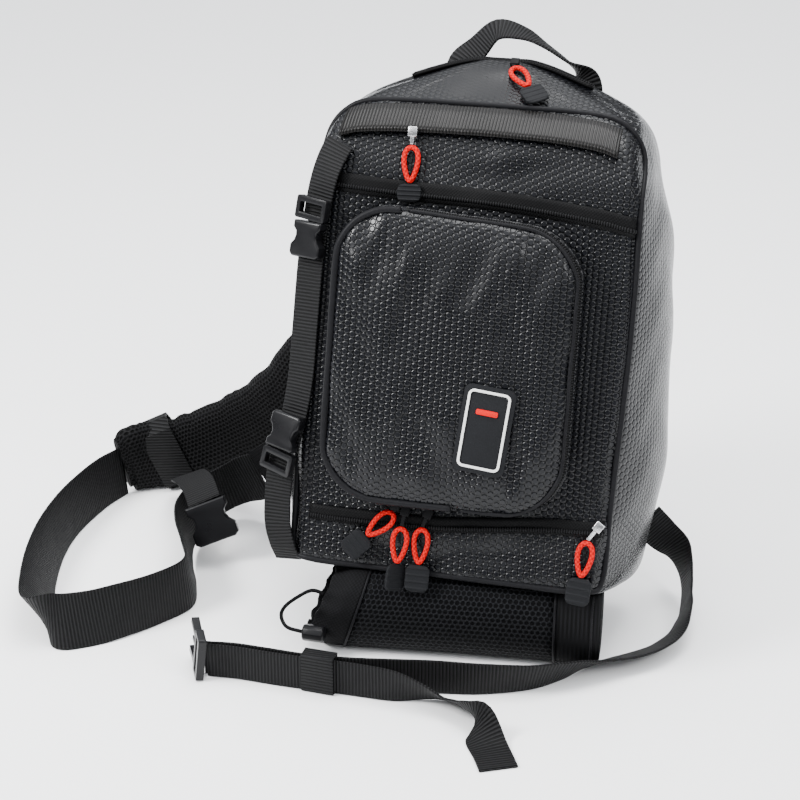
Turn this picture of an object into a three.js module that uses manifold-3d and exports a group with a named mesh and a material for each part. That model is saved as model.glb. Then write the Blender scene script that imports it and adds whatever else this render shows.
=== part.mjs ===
// A fishing tackle sling bag: a hollow padded bag that leans back over the bottle pocket under it,
// with a raised front pocket, compression straps, a shoulder sling and a waist strap.
// Millimetres, +Z up, the bag's front faces -Y, the origin is under the bottle pocket, on the floor.
import * as THREE from "three";
import { mergeVertices } from "three/addons/utils/BufferGeometryUtils.js";
import Module from "manifold-3d";

const wasm = await Module();
wasm.setup();
const V = (x, y, z) => new THREE.Vector3(x, y, z);
const RAD = Math.PI / 180;

// Driving sizes
const GAP = 0.3; // clearance between neighbouring pieces
const SUNK = 1.2; // how deep a seated piece starts inside the form that trims it
const LEAN = 18; // degrees that the bag leans back
const BODY_H = 344;
const BODY_W = 222; // across the two front seams
const BODY_D = 114;
const SIDE_BULGE = 18; // each side panel stands out this far past the front seam
const CORNER = 9; // rounding of the front seams
const WALL = 2.5; // padded fabric
const ZIP_SLIT = 8; // opening of the main zip
const FRONT_PIPING = 1.8; // radius
const BAND_THICK = 1.5; // zip tape with its flap
const ZIP_BAND_W = 12;
const BOTTOM_BAND_W = 10;
const FLAP_W = 19;
const FLAP_THICK = 2.2;
const FLAP_LIFT = 2.5; // the flap's lower edge stands this far off the bag
const POCKET_W = 158;
const POCKET_H = 192;
const POCKET_DEPTH = 27;
const POCKET_CORNER = 38;
const POCKET_DROP = 14; // the pocket's top edge is this much lower at the right
const POCKET_WALL = 2;
const POCKET_PIPING = 2.1; // radius
const PATCH_W = 34;
const PATCH_H = 57;
const PATCH_THICK = 1.4;
const PATCH_CORNER = 5;
const FRAME_W = 1.6;
const WEB = 1.6; // thickness of all webbing
const SIDE_WEB_W = 21;
const WAIST_WEB_W = 25;
const SLING_WEB_W = 40;
const HANDLE_WEB_W = 23;
const PAD_W = 54;
const PAD_THICK = 17;
const BUCKLE_THICK = 8.5;
const BUCKLE_SIDE = 1.6; // a buckle is this much wider than its webbing, on each side
const BOTTLE_R = 32;
const BOTTLE_WALL = 1.6;
const BOTTLE_SEAT = 1.6; // the round pocket is pressed flat this much where it stands
const BOTTLE_LEFT = 66; // net, left of the origin
const BOTTLE_RIGHT = 68;
const BOTTLE_TURN = 6; // degrees that the round pocket turns back at its right end
const CUFF_LENGTH = 26;
const CUFF_SLANT = 10; // the cuff's seam leans over to the right
const END_LENGTH = 31;
const CORD_R = 1.7; // pull loops
const LACE_R = 1.3; // drawcord of the bottle pocket
const LOCK_R = 5.8;
const LOCK_LENGTH = 15;
const SLIDER_W = 6;
const SLIDER_L = 6.5;
const SLIDER_H = 3.2;
const PULLER_W = 2.4; // metal arm between a slider and its loop
const TAG_W = 16;
const TAG_L = 18;
const TAG_THICK = 2.6;
const LOOP_W = 12; // shared by the loop's middle line at its widest
const LOOP_L = 25;

// Names the columns of a table, so that each row is read by name.
function rows(columns, table) {
  return table.map((row) => Object.fromEntries(columns.map((name, i) => [name, row[i]])));
}

// Closed body through rings of points, capped at both ends, or joined end to start where closed.
function loft(rings, closed = false) {
  const n = rings[0].length;
  const points = rings.flat();
  const faces = [];
  const last = closed ? rings.length : rings.length - 1;
  for (let i = 0; i < last; i++)
    for (let j = 0; j < n; j++) {
      const a = i * n + j;
      const b = i * n + ((j + 1) % n);
      const c = ((i + 1) % rings.length) * n + ((j + 1) % n);
      const d = ((i + 1) % rings.length) * n + j;
      faces.push(a, b, c, a, c, d);
    }
  if (!closed)
    for (const [ring, first, turn] of [
      [rings[0], 0, true],
      [rings.at(-1), (rings.length - 1) * n, false],
    ]) {
      const middle = points.length;
      points.push(ring.reduce((sum, p) => sum.add(p), V(0, 0, 0)).divideScalar(n));
      for (let j = 0; j < n; j++) {
        const edge = [first + j, first + ((j + 1) % n)];
        faces.push(...(turn ? edge.reverse() : edge), middle);
      }
    }
  return outward(points, faces);
}

// Geometry of a closed body with its faces turned outwards.
function outward(points, faces) {
  let volume = 0;
  for (let i = 0; i < faces.length; i += 3) {
    const [a, b, c] = [points[faces[i]], points[faces[i + 1]], points[faces[i + 2]]];
    volume += a.dot(V(0, 0, 0).crossVectors(b, c));
  }
  if (volume < 0)
    for (let i = 0; i < faces.length; i += 3) [faces[i], faces[i + 1]] = [faces[i + 1], faces[i]];
  const geometry = new THREE.BufferGeometry().setFromPoints(points);
  geometry.setIndex(faces);
  return geometry;
}

function solid(geometry) {
  const bare = geometry.clone();
  bare.deleteAttribute("normal");
  bare.deleteAttribute("uv");
  const merged = mergeVertices(bare, 1e-4);
  return new wasm.Manifold(
    new wasm.Mesh({
      numProp: 3,
      vertProperties: merged.attributes.position.array,
      triVerts: new Uint32Array(merged.index.array),
    }),
  );
}

// Largest piece of a cut solid, as geometry.
function geometryOf(cut) {
  const pieces = cut.decompose().sort((a, b) => b.volume() - a.volume());
  const mesh = pieces[0].getMesh();
  const geometry = new THREE.BufferGeometry();
  geometry.setAttribute("position", new THREE.BufferAttribute(mesh.vertProperties, 3));
  geometry.setIndex(Array.from(mesh.triVerts));
  return geometry;
}

// The same body with its surface moved outwards by a distance, or inwards where it is negative.
function grown(geometry, distance) {
  const bare = geometry.clone();
  bare.deleteAttribute("normal");
  bare.deleteAttribute("uv");
  const merged = mergeVertices(bare, 1e-4);
  merged.computeVertexNormals();
  const { position, normal } = merged.attributes;
  for (let i = 0; i < position.count; i++) {
    const at = V().fromBufferAttribute(position, i);
    const out = V().fromBufferAttribute(normal, i);
    at.addScaledVector(out, distance);
    position.setXYZ(i, at.x, at.y, at.z);
  }
  return merged;
}

function trimmed(geometry, ...forms) {
  let cut = solid(geometry);
  for (const form of forms) cut = cut.subtract(solid(grown(form, GAP)));
  return geometryOf(cut);
}

// Height of a form's front face over (x, z), as the y where a line along +Y first meets it.
function frontOf(geometry) {
  const ray = new THREE.Raycaster();
  const target = new THREE.Mesh(geometry, new THREE.MeshBasicMaterial({ side: THREE.DoubleSide }));
  return (x, z, out = 0) => {
    ray.set(V(x, -BODY_H, z), V(0, 1, 0));
    const [hit] = ray.intersectObject(target);
    return V(x, (hit ? hit.point.y : BODY_D / 2) - out, z);
  };
}

const SQUARE = [
  [-1, -1],
  [1, -1],
  [1, 1],
  [-1, 1],
];
const PILLOW = [
  [-1, -0.35],
  [-0.72, -0.95],
  [0, -1],
  [0.72, -0.95],
  [1, -0.35],
  [1, 0.35],
  [0.72, 0.95],
  [0, 1],
  [-0.72, 0.95],
  [-1, 0.35],
];

// Band of webbing or padding along stations that give the middle, the direction of its width and
// its width and thickness as shares of the named ones. No ring goes below the lowest height.
function band(stations, width, thick, steps, corners = SQUARE, lowest = -Infinity) {
  const middle = new THREE.CatmullRomCurve3(stations.map((s) => s.at));
  const edge = new THREE.CatmullRomCurve3(
    stations.map((s) => s.at.clone().addScaledVector(s.across.clone().normalize(), width)),
  );
  const full = new THREE.CatmullRomCurve3(stations.map((s) => V(s.wide ?? 1, s.deep ?? 1, 0)));
  const rings = [];
  for (let i = 0; i <= steps; i++) {
    const at = middle.getPoint(i / steps);
    const along = middle.getTangent(i / steps);
    const across = edge.getPoint(i / steps).sub(at);
    across.addScaledVector(along, -across.dot(along)).normalize();
    const out = V().crossVectors(along, across).normalize();
    const share = full.getPoint(i / steps);
    const ring = corners.map(([w, t]) =>
      at
        .clone()
        .addScaledVector(across, (w * width * share.x) / 2)
        .addScaledVector(out, (t * thick * share.y) / 2),
    );
    const lift = Math.max(lowest - Math.min(...ring.map((p) => p.z)), 0);
    for (const p of ring) p.z += lift;
    rings.push(ring);
  }
  return loft(rings);
}

// Round tube along points.
function tube(points, radius, sides, steps, closed = false) {
  const curve = new THREE.CatmullRomCurve3(points, closed);
  const frames = curve.computeFrenetFrames(steps, closed);
  const rings = [];
  for (let i = 0; i < (closed ? steps : steps + 1); i++) {
    const at = curve.getPointAt(i / steps);
    const ring = [];
    for (let j = 0; j < sides; j++) {
      const turn = (2 * Math.PI * j) / sides;
      ring.push(
        at
          .clone()
          .addScaledVector(frames.normals[i], radius * Math.cos(turn))
          .addScaledVector(frames.binormals[i], radius * Math.sin(turn)),
      );
    }
    rings.push(ring);
  }
  return loft(rings, closed);
}

// Plate with a rounded outline, standing in the XZ plane, its thickness along Y.
function plate(width, height, corner, thick, hole = null) {
  const shape = rounded(width, height, corner);
  if (hole) shape.holes.push(hole);
  const straight = { depth: thick, bevelEnabled: false, curveSegments: 3 };
  const geometry = new THREE.ExtrudeGeometry(shape, straight);
  return geometry.translate(0, 0, -thick / 2).rotateX(Math.PI / 2);
}

function rounded(width, height, corner, Kind = THREE.Shape) {
  const [x, y] = [width / 2, height / 2];
  const shape = new Kind();
  shape.moveTo(-x + corner, -y);
  shape.lineTo(x - corner, -y);
  shape.absarc(x - corner, -y + corner, corner, -Math.PI / 2, 0);
  shape.lineTo(x, y - corner);
  shape.absarc(x - corner, y - corner, corner, 0, Math.PI / 2);
  shape.lineTo(-x + corner, y);
  shape.absarc(-x + corner, y - corner, corner, Math.PI / 2, Math.PI);
  shape.lineTo(-x, -y + corner);
  shape.absarc(-x + corner, -y + corner, corner, Math.PI, 1.5 * Math.PI);
  return shape;
}

const FINISH = {
  honeycomb: new THREE.MeshStandardMaterial({ color: 0x17181b, roughness: 0.35, metalness: 0.1 }),
  webbing: new THREE.MeshStandardMaterial({ color: 0x1b1b1c, roughness: 0.85 }),
  tape: new THREE.MeshStandardMaterial({ color: 0x232325, roughness: 0.7 }),
  plain: new THREE.MeshStandardMaterial({ color: 0x202022, roughness: 0.8 }),
  mesh: new THREE.MeshStandardMaterial({ color: 0x121213, roughness: 0.9 }),
  plastic: new THREE.MeshStandardMaterial({ color: 0x1c1d1f, roughness: 0.4 }),
  rubber: new THREE.MeshStandardMaterial({ color: 0x242527, roughness: 0.6 }),
  red: new THREE.MeshStandardMaterial({ color: 0xe33a36, roughness: 0.7 }),
  white: new THREE.MeshStandardMaterial({ color: 0xe8e6e0, roughness: 0.6 }),
  metal: new THREE.MeshStandardMaterial({ color: 0xb5b6b8, roughness: 0.3, metalness: 1 }),
};

const root = new THREE.Group();
const bag = new THREE.Group(); // leans back, its origin on the bottom front edge, in the middle
const BAG_AT = V(-5, -24, 62);
bag.position.copy(BAG_AT);
bag.rotation.x = -LEAN * RAD;
root.add(bag);
bag.updateMatrixWorld(true);

function add(group, name, geometry, finish) {
  const mesh = new THREE.Mesh(geometry, FINISH[finish]);
  mesh.name = name;
  group.add(mesh);
  return mesh;
}

// Body of the bag

// Sections of the body up its height. wide: of half the width, bulge: of the side bulge,
// front and back: of the depth, corner: of the corner rounding.
const BODY_SECTIONS = rows(
  ["up", "wide", "bulge", "front", "back", "corner"],
  [
    [0.0, 0.9, 0.6, 0.035, 0.96, 1.0],
    [0.014, 0.935, 0.9, 0.0, 1.0, 1.0],
    [0.1, 0.95, 1.1, 0.0, 1.0, 1.0],
    [0.23, 0.965, 1.45, -0.01, 0.99, 1.0],
    [0.37, 0.98, 1.2, -0.01, 0.97, 1.0],
    [0.56, 0.99, 1.0, -0.005, 0.945, 1.0],
    [0.7, 0.975, 0.8, 0.0, 0.92, 1.0],
    [0.79, 0.95, 0.42, 0.005, 0.905, 1.1],
    [0.845, 0.93, 0.27, 0.055, 0.895, 1.5],
    [0.89, 0.86, 0.32, 0.16, 0.885, 2.0],
    [0.925, 0.71, 0.55, 0.29, 0.87, 2.2],
    [0.958, 0.49, 0.6, 0.41, 0.84, 2.0],
    [0.984, 0.28, 0.55, 0.5, 0.79, 1.15],
    [1.0, 0.12, 0.4, 0.59, 0.7, 0.42],
  ],
);
// Half an outline, from the middle of the front to the middle of the back. across: of the half
// width, bulge: of the bulge, inset and turn: of the corner, depth: of the depth.
const BODY_OUTLINE = rows(
  ["across", "bulge", "inset", "turn", "depth"],
  [
    [0.0, 0, 0, 0, 0],
    [0.3, 0, 0, 0, 0],
    [0.6, 0, 0, 0, 0],
    [1, 0, 1, 0, 0],
    [1, 0, 0.28, 0.28, 0],
    [1, 0.2, 0, 1.1, 0.02],
    [1, 0.72, 0, 0.5, 0.32],
    [1, 1, 0, 0, 0.62],
    [1, 0.92, 0, 0, 0.86],
    [1, 0.5, 0, 0, 0.97],
    [0.92, 0, 0, 0, 1],
    [0.46, 0, 0, 0, 1],
    [0, 0, 0, 0, 1],
  ],
);

// Ring round the body at a section, moved inwards by an inset.
function bodyRing({ up, wide, bulge, front, back, corner }, inset = 0) {
  const half = BODY_OUTLINE.map((o) => {
    const side = (wide * BODY_W) / 2 - inset;
    const x = o.across * side + o.bulge * bulge * SIDE_BULGE - o.inset * corner * CORNER;
    const depth = (back - front) * BODY_D - 2 * inset;
    const y = front * BODY_D + inset + o.depth * depth + o.turn * corner * CORNER;
    return V(x, y, inset + up * (BODY_H - 2 * inset));
  });
  const other = half.slice(1, -1).reverse();
  return [...half, ...other.map((p) => V(-p.x, p.y, p.z))];
}

const bodyForm = loft(BODY_SECTIONS.map((section) => bodyRing(section)));
const bodyHollow = loft(BODY_SECTIONS.map((section) => bodyRing(section, WALL)));
const onBody = frontOf(bodyForm);
const SLIT_HALF = 0.27 * BODY_W;
const SLIT_Y = 0.66 * BODY_D;

function bodyShell() {
  const slit = new THREE.BoxGeometry(2 * SLIT_HALF, ZIP_SLIT, BODY_H / 4);
  slit.translate(0, SLIT_Y, BODY_H);
  const walls = solid(bodyForm).subtract(solid(bodyHollow));
  return geometryOf(walls.subtract(solid(slit)));
}
add(bag, "body_shell", bodyShell(), "honeycomb");

// A place on the bag's front, from shares of half its width and of its height.
const front = (across, up, out = 0) => onBody((across * BODY_W) / 2, up * BODY_H, out);

// Piping round the front panel: along the bottom, up the side seams and over the top seam.
const FRONT_SEAM = rows(
  ["across", "up"],
  [
    [0, 0.006],
    [0.45, 0.006],
    [0.84, 0.008],
    [0.945, 0.03],
    [0.955, 0.16],
    [0.972, 0.31],
    [0.985, 0.46],
    [0.985, 0.6],
    [0.975, 0.74],
    [0.96, 0.81],
    [0.93, 0.85],
    [0.86, 0.88],
    [0.74, 0.9],
    [0.5, 0.907],
    [0.2, 0.908],
  ],
);
function frontPiping() {
  const right = FRONT_SEAM.map((s) => front(s.across, s.up));
  const left = FRONT_SEAM.slice(1).map((s) => front(-s.across, s.up));
  return tube([...right, ...left.reverse()], FRONT_PIPING, 5, 54, true);
}
add(bag, "front_piping", trimmed(frontPiping(), bodyForm), "tape");

// Flat band laid on the bag's front along a line, its lower and upper edges on the surface.
function frontBand(line, width, thick, lift = 0) {
  const rings = line.map(({ across, up }) => {
    const half = width / 2 / BODY_H;
    const low = front(across, up - half);
    const high = front(across, up + half);
    return [
      low.clone().add(V(0, SUNK, 0)),
      high.clone().add(V(0, SUNK, 0)),
      high.clone().add(V(0, -thick, 0)),
      low.clone().add(V(0, -thick - lift, 0)),
    ];
  });
  return loft(rings);
}
const LINE = ["across", "up"];
const TOP_BAND_LINE = rows(LINE, [
  [-0.82, 0.744],
  [-0.5, 0.738],
  [-0.1, 0.734],
  [0.2, 0.73],
  [0.5, 0.722],
  [0.78, 0.712],
  [0.86, 0.707],
  [0.91, 0.704],
  [0.94, 0.702],
  [0.96, 0.7],
]);
const BOTTOM_BAND_LINE = rows(LINE, [
  [-0.85, 0.102],
  [-0.6, 0.101],
  [-0.3, 0.102],
  [0, 0.106],
  [0.3, 0.116],
  [0.6, 0.126],
  [0.8, 0.129],
  [0.87, 0.13],
  [0.91, 0.131],
  [0.935, 0.131],
]);
const FLAP_LINE = rows(LINE, [
  [-0.83, 0.858],
  [-0.7, 0.868],
  [-0.45, 0.874],
  [-0.15, 0.876],
  [0.15, 0.876],
  [0.45, 0.873],
  [0.7, 0.864],
  [0.82, 0.853],
]);
const pipingForm = frontPiping();
const flapForm = frontBand(FLAP_LINE, FLAP_W, FLAP_THICK, FLAP_LIFT);
add(bag, "top_flap", trimmed(flapForm, bodyForm, pipingForm), "honeycomb");
const topBand = frontBand(TOP_BAND_LINE, ZIP_BAND_W, BAND_THICK);
add(bag, "top_zip", trimmed(topBand, bodyForm), "tape");
const bottomBand = frontBand(BOTTOM_BAND_LINE, BOTTOM_BAND_W, BAND_THICK);
add(bag, "bottom_zip", trimmed(bottomBand, bodyForm), "tape");

// Main zip over the slit along the top.
function mainZip() {
  const ray = new THREE.Raycaster();
  const target = new THREE.Mesh(bodyForm, new THREE.MeshBasicMaterial({ side: THREE.DoubleSide }));
  const top = (x, y) => {
    ray.set(V(x, y, 2 * BODY_H), V(0, 0, -1));
    return ray.intersectObject(target)[0].point;
  };
  const rings = [];
  const half = 0.75 * ZIP_SLIT;
  for (let i = 0; i <= 10; i++) {
    const x = (i / 5 - 1) * (SLIT_HALF + ZIP_SLIT / 2);
    const near = top(x, SLIT_Y - half);
    const far = top(x, SLIT_Y + half);
    rings.push([
      near.clone().add(V(0, 0, -SUNK)),
      far.clone().add(V(0, 0, -SUNK)),
      far.clone().add(V(0, 0, BAND_THICK)),
      near.clone().add(V(0, 0, BAND_THICK)),
    ]);
  }
  return loft(rings);
}
add(bag, "main_zip", trimmed(mainZip(), bodyForm), "tape");

// Front pocket

// Points round the pocket's outline, moved in by an inset, from the middle of the bottom edge
// to the right, up and round.
const POCKET_AT = V(-0.019 * BODY_W, 0, 0.428 * BODY_H);
function pocketOutline(inset) {
  const corner = Math.max(POCKET_CORNER - inset * 0.6, 8);
  const [x, z] = [POCKET_W / 2 - inset, POCKET_H / 2 - inset];
  const points = [];
  for (let quarter = 0; quarter < 4; quarter++) {
    const [sx, sz] = [quarter < 2 ? 1 : -1, quarter % 3 ? 1 : -1];
    for (let i = 0; i <= 4; i++) {
      const turn = (quarter - 1 + i / 4) * (Math.PI / 2);
      points.push([
        sx * (x - corner) + corner * Math.cos(turn),
        sz * (z - corner) + corner * Math.sin(turn),
      ]);
    }
    points.push(quarter % 2 ? [0, sz * z] : [sx * x, 0]);
  }
  return points.map(([px, pz]) => {
    const drop = POCKET_DROP * (px / POCKET_W + 0.5) * Math.max(pz / POCKET_H + 0.2, 0);
    return V(POCKET_AT.x + px, 0, POCKET_AT.z + pz - drop);
  });
}
// Layers of the pocket, outwards. out: of the depth, inset: of the pocket's corner.
const POCKET_LAYERS = rows(
  ["out", "inset"],
  [
    [-0.15, -0.08],
    [0.09, -0.08],
    [0.14, -0.02],
    [0.2, 0.0],
    [0.62, 0.0],
    [0.74, 0.04],
    [0.84, 0.16],
    [0.94, 0.5],
    [1.0, 1.1],
  ],
);
function pocketForm(wall, extra = 0) {
  return loft(
    POCKET_LAYERS.map(({ out, inset }, i) => {
      const y = -out * POCKET_DEPTH + (out > 0 ? wall : extra);
      return pocketOutline(inset * POCKET_CORNER + wall + (wall && i < 3 ? wall * 2 : 0)).map((p) =>
        V(p.x, y, p.z),
      );
    }),
  );
}
const pocketOuter = pocketForm(0);
const pocketHollow = pocketForm(POCKET_WALL, 2 * POCKET_WALL);
add(
  bag,
  "front_pocket",
  geometryOf(
    solid(pocketOuter).subtract(solid(pocketHollow)).subtract(solid(grown(bodyForm, GAP))).subtract(
      solid(grown(bottomBand, GAP)),
    ),
  ),
  "honeycomb",
);
const onPocket = frontOf(pocketOuter);

// Stretch of the pocket's outline between two shares of the way round, from the bottom's middle.
function pocketEdge(from, to, count, y, inset = 0) {
  const curve = new THREE.CatmullRomCurve3(pocketOutline(inset), true);
  const points = [];
  for (let i = 0; i <= count; i++) {
    const p = curve.getPointAt((((from + ((to - from) * i) / count) % 1) + 1) % 1);
    points.push(V(p.x, y, p.z));
  }
  return points;
}
const PIPED_FROM = 0.49; // the piping goes from the top round the left side to the bottom
const PIPED_TO = 0.95;
const pipedEdge = pocketEdge(PIPED_FROM, PIPED_TO, 16, -0.72 * POCKET_DEPTH);
const pocketLine = tube(pipedEdge, POCKET_PIPING, 5, 24);
add(bag, "pocket_piping", trimmed(pocketLine, pocketOuter, bodyForm), "tape");

function pocketZip() {
  const [near, far] = [-0.28 * POCKET_DEPTH, -0.56 * POCKET_DEPTH];
  const range = [PIPED_TO + 0.01 - 1, PIPED_FROM - 0.01, 24];
  const inner = pocketEdge(...range, near, SUNK);
  const outer = pocketEdge(...range, near, -BAND_THICK);
  return loft(
    inner.map((p, i) => [
      V(p.x, near, p.z),
      V(outer[i].x, near, outer[i].z),
      V(outer[i].x, far, outer[i].z),
      V(p.x, far, p.z),
    ]),
  );
}
add(bag, "pocket_zip", trimmed(pocketZip(), pocketOuter), "tape");

// Rubber patch low on the right of the pocket, with a plain frame and bar.
const PATCH_AT = [0.185 * POCKET_W, -0.215 * POCKET_H];
const PATCH_TURN = 5.5; // degrees, clockwise
function onPatch(geometry, up, side = 0, along = 0) {
  const at = onPocket(POCKET_AT.x + PATCH_AT[0], POCKET_AT.z + PATCH_AT[1]);
  const rise = (dx, dz) => onPocket(at.x + dx, at.z + dz).y;
  const [w, h] = [PATCH_W / 3, PATCH_H / 3];
  const yaw = Math.atan2(rise(w, 0) - rise(-w, 0), 2 * w);
  const pitch = Math.atan2(rise(0, h) - rise(0, -h), 2 * h);
  const place = new THREE.Matrix4().makeRotationY(PATCH_TURN * RAD);
  place.premultiply(new THREE.Matrix4().makeRotationX(-pitch));
  place.premultiply(new THREE.Matrix4().makeRotationZ(yaw));
  place.premultiply(new THREE.Matrix4().makeTranslation(at.x, at.y - up, at.z));
  return geometry.translate(side, 0, along).applyMatrix4(place);
}
const patchPlate = plate(PATCH_W, PATCH_H, PATCH_CORNER, PATCH_THICK + SUNK);
const patchForm = onPatch(patchPlate, (PATCH_THICK - SUNK) / 2 + 0.4);
add(bag, "label_patch", trimmed(patchForm, pocketOuter), "rubber");
const LINE_THICK = 0.7; // raised line on the patch
const FRAME_INSET = 3;
const lineUp = PATCH_THICK + 0.4 + GAP / 2 + LINE_THICK / 2;
const [frameW, frameH] = [PATCH_W - 2 * FRAME_INSET, PATCH_H - 2 * FRAME_INSET];
const frameHole = rounded(
  frameW - 2 * FRAME_W,
  frameH - 2 * FRAME_W,
  PATCH_CORNER - 2.5,
  THREE.Path,
);
const frameLine = plate(frameW, frameH, PATCH_CORNER - 1, LINE_THICK, frameHole);
add(bag, "label_frame", onPatch(frameLine, lineUp), "white");
const BAR_W = 0.42 * PATCH_W;
add(bag, "label_bar", onPatch(plate(BAR_W, 2.2 * FRAME_W, 1, LINE_THICK), lineUp, 0, PATCH_H / 5), "red");

// Grab handle over the top. across and up: of half the width and of the height, y: of the depth,
// wx, wy, wz: direction of the webbing's width.
const HANDLE = rows(
  ["across", "y", "up", "wx", "wy", "wz"],
  [
    [-0.29, 0.78, 0.955, 1, 0, 0],
    [-0.28, 0.79, 0.992, 1, -0.1, 0],
    [-0.2, 0.8, 1.026, 0.75, -0.6, -0.35],
    [-0.09, 0.8, 1.062, 0.3, -0.75, -0.6],
    [0.08, 0.8, 1.057, 0.15, -0.9, -0.4],
    [0.22, 0.8, 1.036, 0.1, -1, -0.15],
    [0.34, 0.8, 1.013, 0.2, -1, -0.12],
    [0.44, 0.79, 0.99, 0.7, -0.7, -0.3],
    [0.49, 0.78, 0.962, 1, -0.1, -0.2],
    [0.5, 0.78, 0.925, 1, 0, -0.2],
  ],
);
const handle = band(
  HANDLE.map((s) => ({
    at: V((s.across * BODY_W) / 2, s.y * BODY_D, s.up * BODY_H),
    across: V(s.wx, s.wy, s.wz),
  })),
  HANDLE_WEB_W,
  WEB * 1.2,
  20,
);
add(bag, "handle", trimmed(handle, bodyForm), "webbing");

// Compression straps down the left front seam, with two side-release buckles

// Middle line of the side webbing. across and up: shares of half the width and of the height,
// y: of the corner rounding, turn: degrees that its face looks to the left.
const SIDE_LINE = rows(
  ["across", "up", "y", "turn"],
  [
    [-0.78, 0.84, 0.55, 6],
    [-0.845, 0.8, 0.1, 12],
    [-0.89, 0.755, -0.1, 20],
    [-0.92, 0.7, 0, 22],
    [-0.938, 0.64, 0.14, 22],
    [-0.95, 0.57, 0.16, 22],
    [-0.955, 0.46, 0.18, 22],
    [-0.96, 0.36, 0.16, 22],
    [-0.985, 0.28, 0, 22],
    [-1.02, 0.22, -0.1, 20],
    [-1.05, 0.165, 0.1, 18],
    [-1.045, 0.08, 0.1, 18],
    [-1.01, 0.03, 0.35, 18],
    [-0.975, -0.004, 1.1, 14],
  ],
);
const sideCurve = new THREE.CatmullRomCurve3(
  SIDE_LINE.map((s) => V((s.across * BODY_W) / 2, s.y * CORNER - WEB, s.up * BODY_H)),
);
const sideTurn = new THREE.CatmullRomCurve3(SIDE_LINE.map((s) => V(s.turn, s.up, 0)));
// Station of the side strap at a share of the height.
function sideAt(up, out = 0) {
  let [low, high] = [0, 1];
  for (let i = 0; i < 24; i++) {
    const middle = (low + high) / 2;
    if (sideCurve.getPoint(middle).z / BODY_H > up) low = middle;
    else high = middle;
  }
  const turn = sideTurn.getPoint(low).x * RAD;
  const across = V(Math.cos(turn), -Math.sin(turn), 0);
  const at = sideCurve.getPoint(low).add(V(-Math.sin(turn) * out, -Math.cos(turn) * out, 0));
  return { at, across, along: sideCurve.getTangent(low), turn };
}
function sideStrap(from, to, count, out = 0) {
  const stations = [];
  for (let i = 0; i <= count; i++) stations.push(sideAt(from + ((to - from) * i) / count, out));
  return band(stations, SIDE_WEB_W, WEB, count * 2);
}

// Outline of a buckle's socket: a block with a waist where the clip's arms are pressed.
function socketOutline(width, length) {
  const [x, y] = [width / 2, length / 2];
  const shape = new THREE.Shape();
  shape.moveTo(-x * 0.82, -y);
  shape.lineTo(x * 0.82, -y);
  shape.lineTo(x, -y * 0.85);
  shape.lineTo(x, -y * 0.35);
  shape.quadraticCurveTo(x * 0.6, 0, x * 0.72, y * 0.4);
  shape.lineTo(x * 0.92, y * 0.62);
  shape.lineTo(x * 0.92, y);
  shape.lineTo(-x * 0.92, y);
  shape.lineTo(-x * 0.92, y * 0.62);
  shape.lineTo(-x * 0.72, y * 0.4);
  shape.quadraticCurveTo(-x * 0.6, 0, -x, -y * 0.35);
  shape.lineTo(-x, -y * 0.85);
  return shape;
}
// Solid of an outline drawn across the webbing and along the strap, as thick as a buckle.
function moulded(shape, thick, hole = null, bevel = 0.9) {
  if (hole) shape.holes.push(hole);
  return new THREE.ExtrudeGeometry(shape, {
    depth: thick - 2 * bevel,
    bevelEnabled: bevel > 0,
    bevelThickness: bevel,
    bevelSize: bevel,
    bevelOffset: -bevel,
    bevelSegments: 1,
    curveSegments: 3,
  }).translate(0, 0, bevel - thick / 2);
}
// Puts a moulded piece at a station, its drawing's x across the webbing and y against its run.
function seatedOn(geometry, { at, across, along }, slide = 0) {
  const x = across.clone().addScaledVector(along, -across.dot(along)).normalize();
  const y = along.clone().negate();
  const place = new THREE.Matrix4().makeBasis(x, y, V().crossVectors(x, y));
  place.setPosition(at.clone().addScaledVector(y, slide));
  return geometry.applyMatrix4(place);
}
// Frame with a bar's slot for the webbing, which is what shows of a fastened clip.
function barFrame(width, length) {
  const shape = rounded(width, length, 1.6);
  const slot = rounded(width - 2 * FRAME_RIM, length - 2.6 * FRAME_RIM, 0.8, THREE.Path);
  return moulded(shape, 0.62 * BUCKLE_THICK, slot, 0);
}
const FRAME_RIM = 3;
const SIDE_BUCKLE_W = SIDE_WEB_W + 2 * BUCKLE_SIDE;
const SOCKET_L = 24;
const FRAME_L = 15;
const BUCKLE_OUT = BUCKLE_THICK / 2 + WEB / 2 + GAP;
// Each side buckle hangs from the strap above it: share of the height of its upper end, and
// whether the socket is the upper half.
const SIDE_BUCKLES = rows(
  ["name", "up", "socketFirst"],
  [
    ["buckle_upper", 0.71, false],
    ["buckle_lower", 0.291, true],
  ],
);
for (const { name, up, socketFirst } of SIDE_BUCKLES) {
  const lengths = socketFirst ? [SOCKET_L, FRAME_L] : [FRAME_L, SOCKET_L];
  const second = lengths[0] + 3 * GAP + lengths[1] / 2;
  const middles = [up - lengths[0] / 2 / BODY_H, up - second / BODY_H];
  const [socketUp, frameUp] = socketFirst ? middles : middles.toReversed();
  const socket = moulded(socketOutline(SIDE_BUCKLE_W, SOCKET_L), BUCKLE_THICK);
  if (socketFirst) socket.rotateZ(Math.PI);
  seatedOn(socket, sideAt(socketUp, BUCKLE_OUT));
  add(bag, name + "_socket", trimmed(socket, bodyForm), "plastic");
  const frame = seatedOn(barFrame(SIDE_BUCKLE_W, FRAME_L), sideAt(frameUp, BUCKLE_OUT));
  add(bag, name + "_clip", trimmed(frame, bodyForm), "plastic");
}
const strapForms = {
  strap_upper: sideStrap(0.818, 0.672, 7),
  strap_middle: sideStrap(0.665, 0.22, 10),
  strap_lower: sideStrap(0.213, -0.002, 7),
};
for (const [name, form] of Object.entries(strapForms))
  add(bag, name, trimmed(form, bodyForm, pipingForm, grown(flapForm, GAP), topBand, bottomBand), "webbing");

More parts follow.
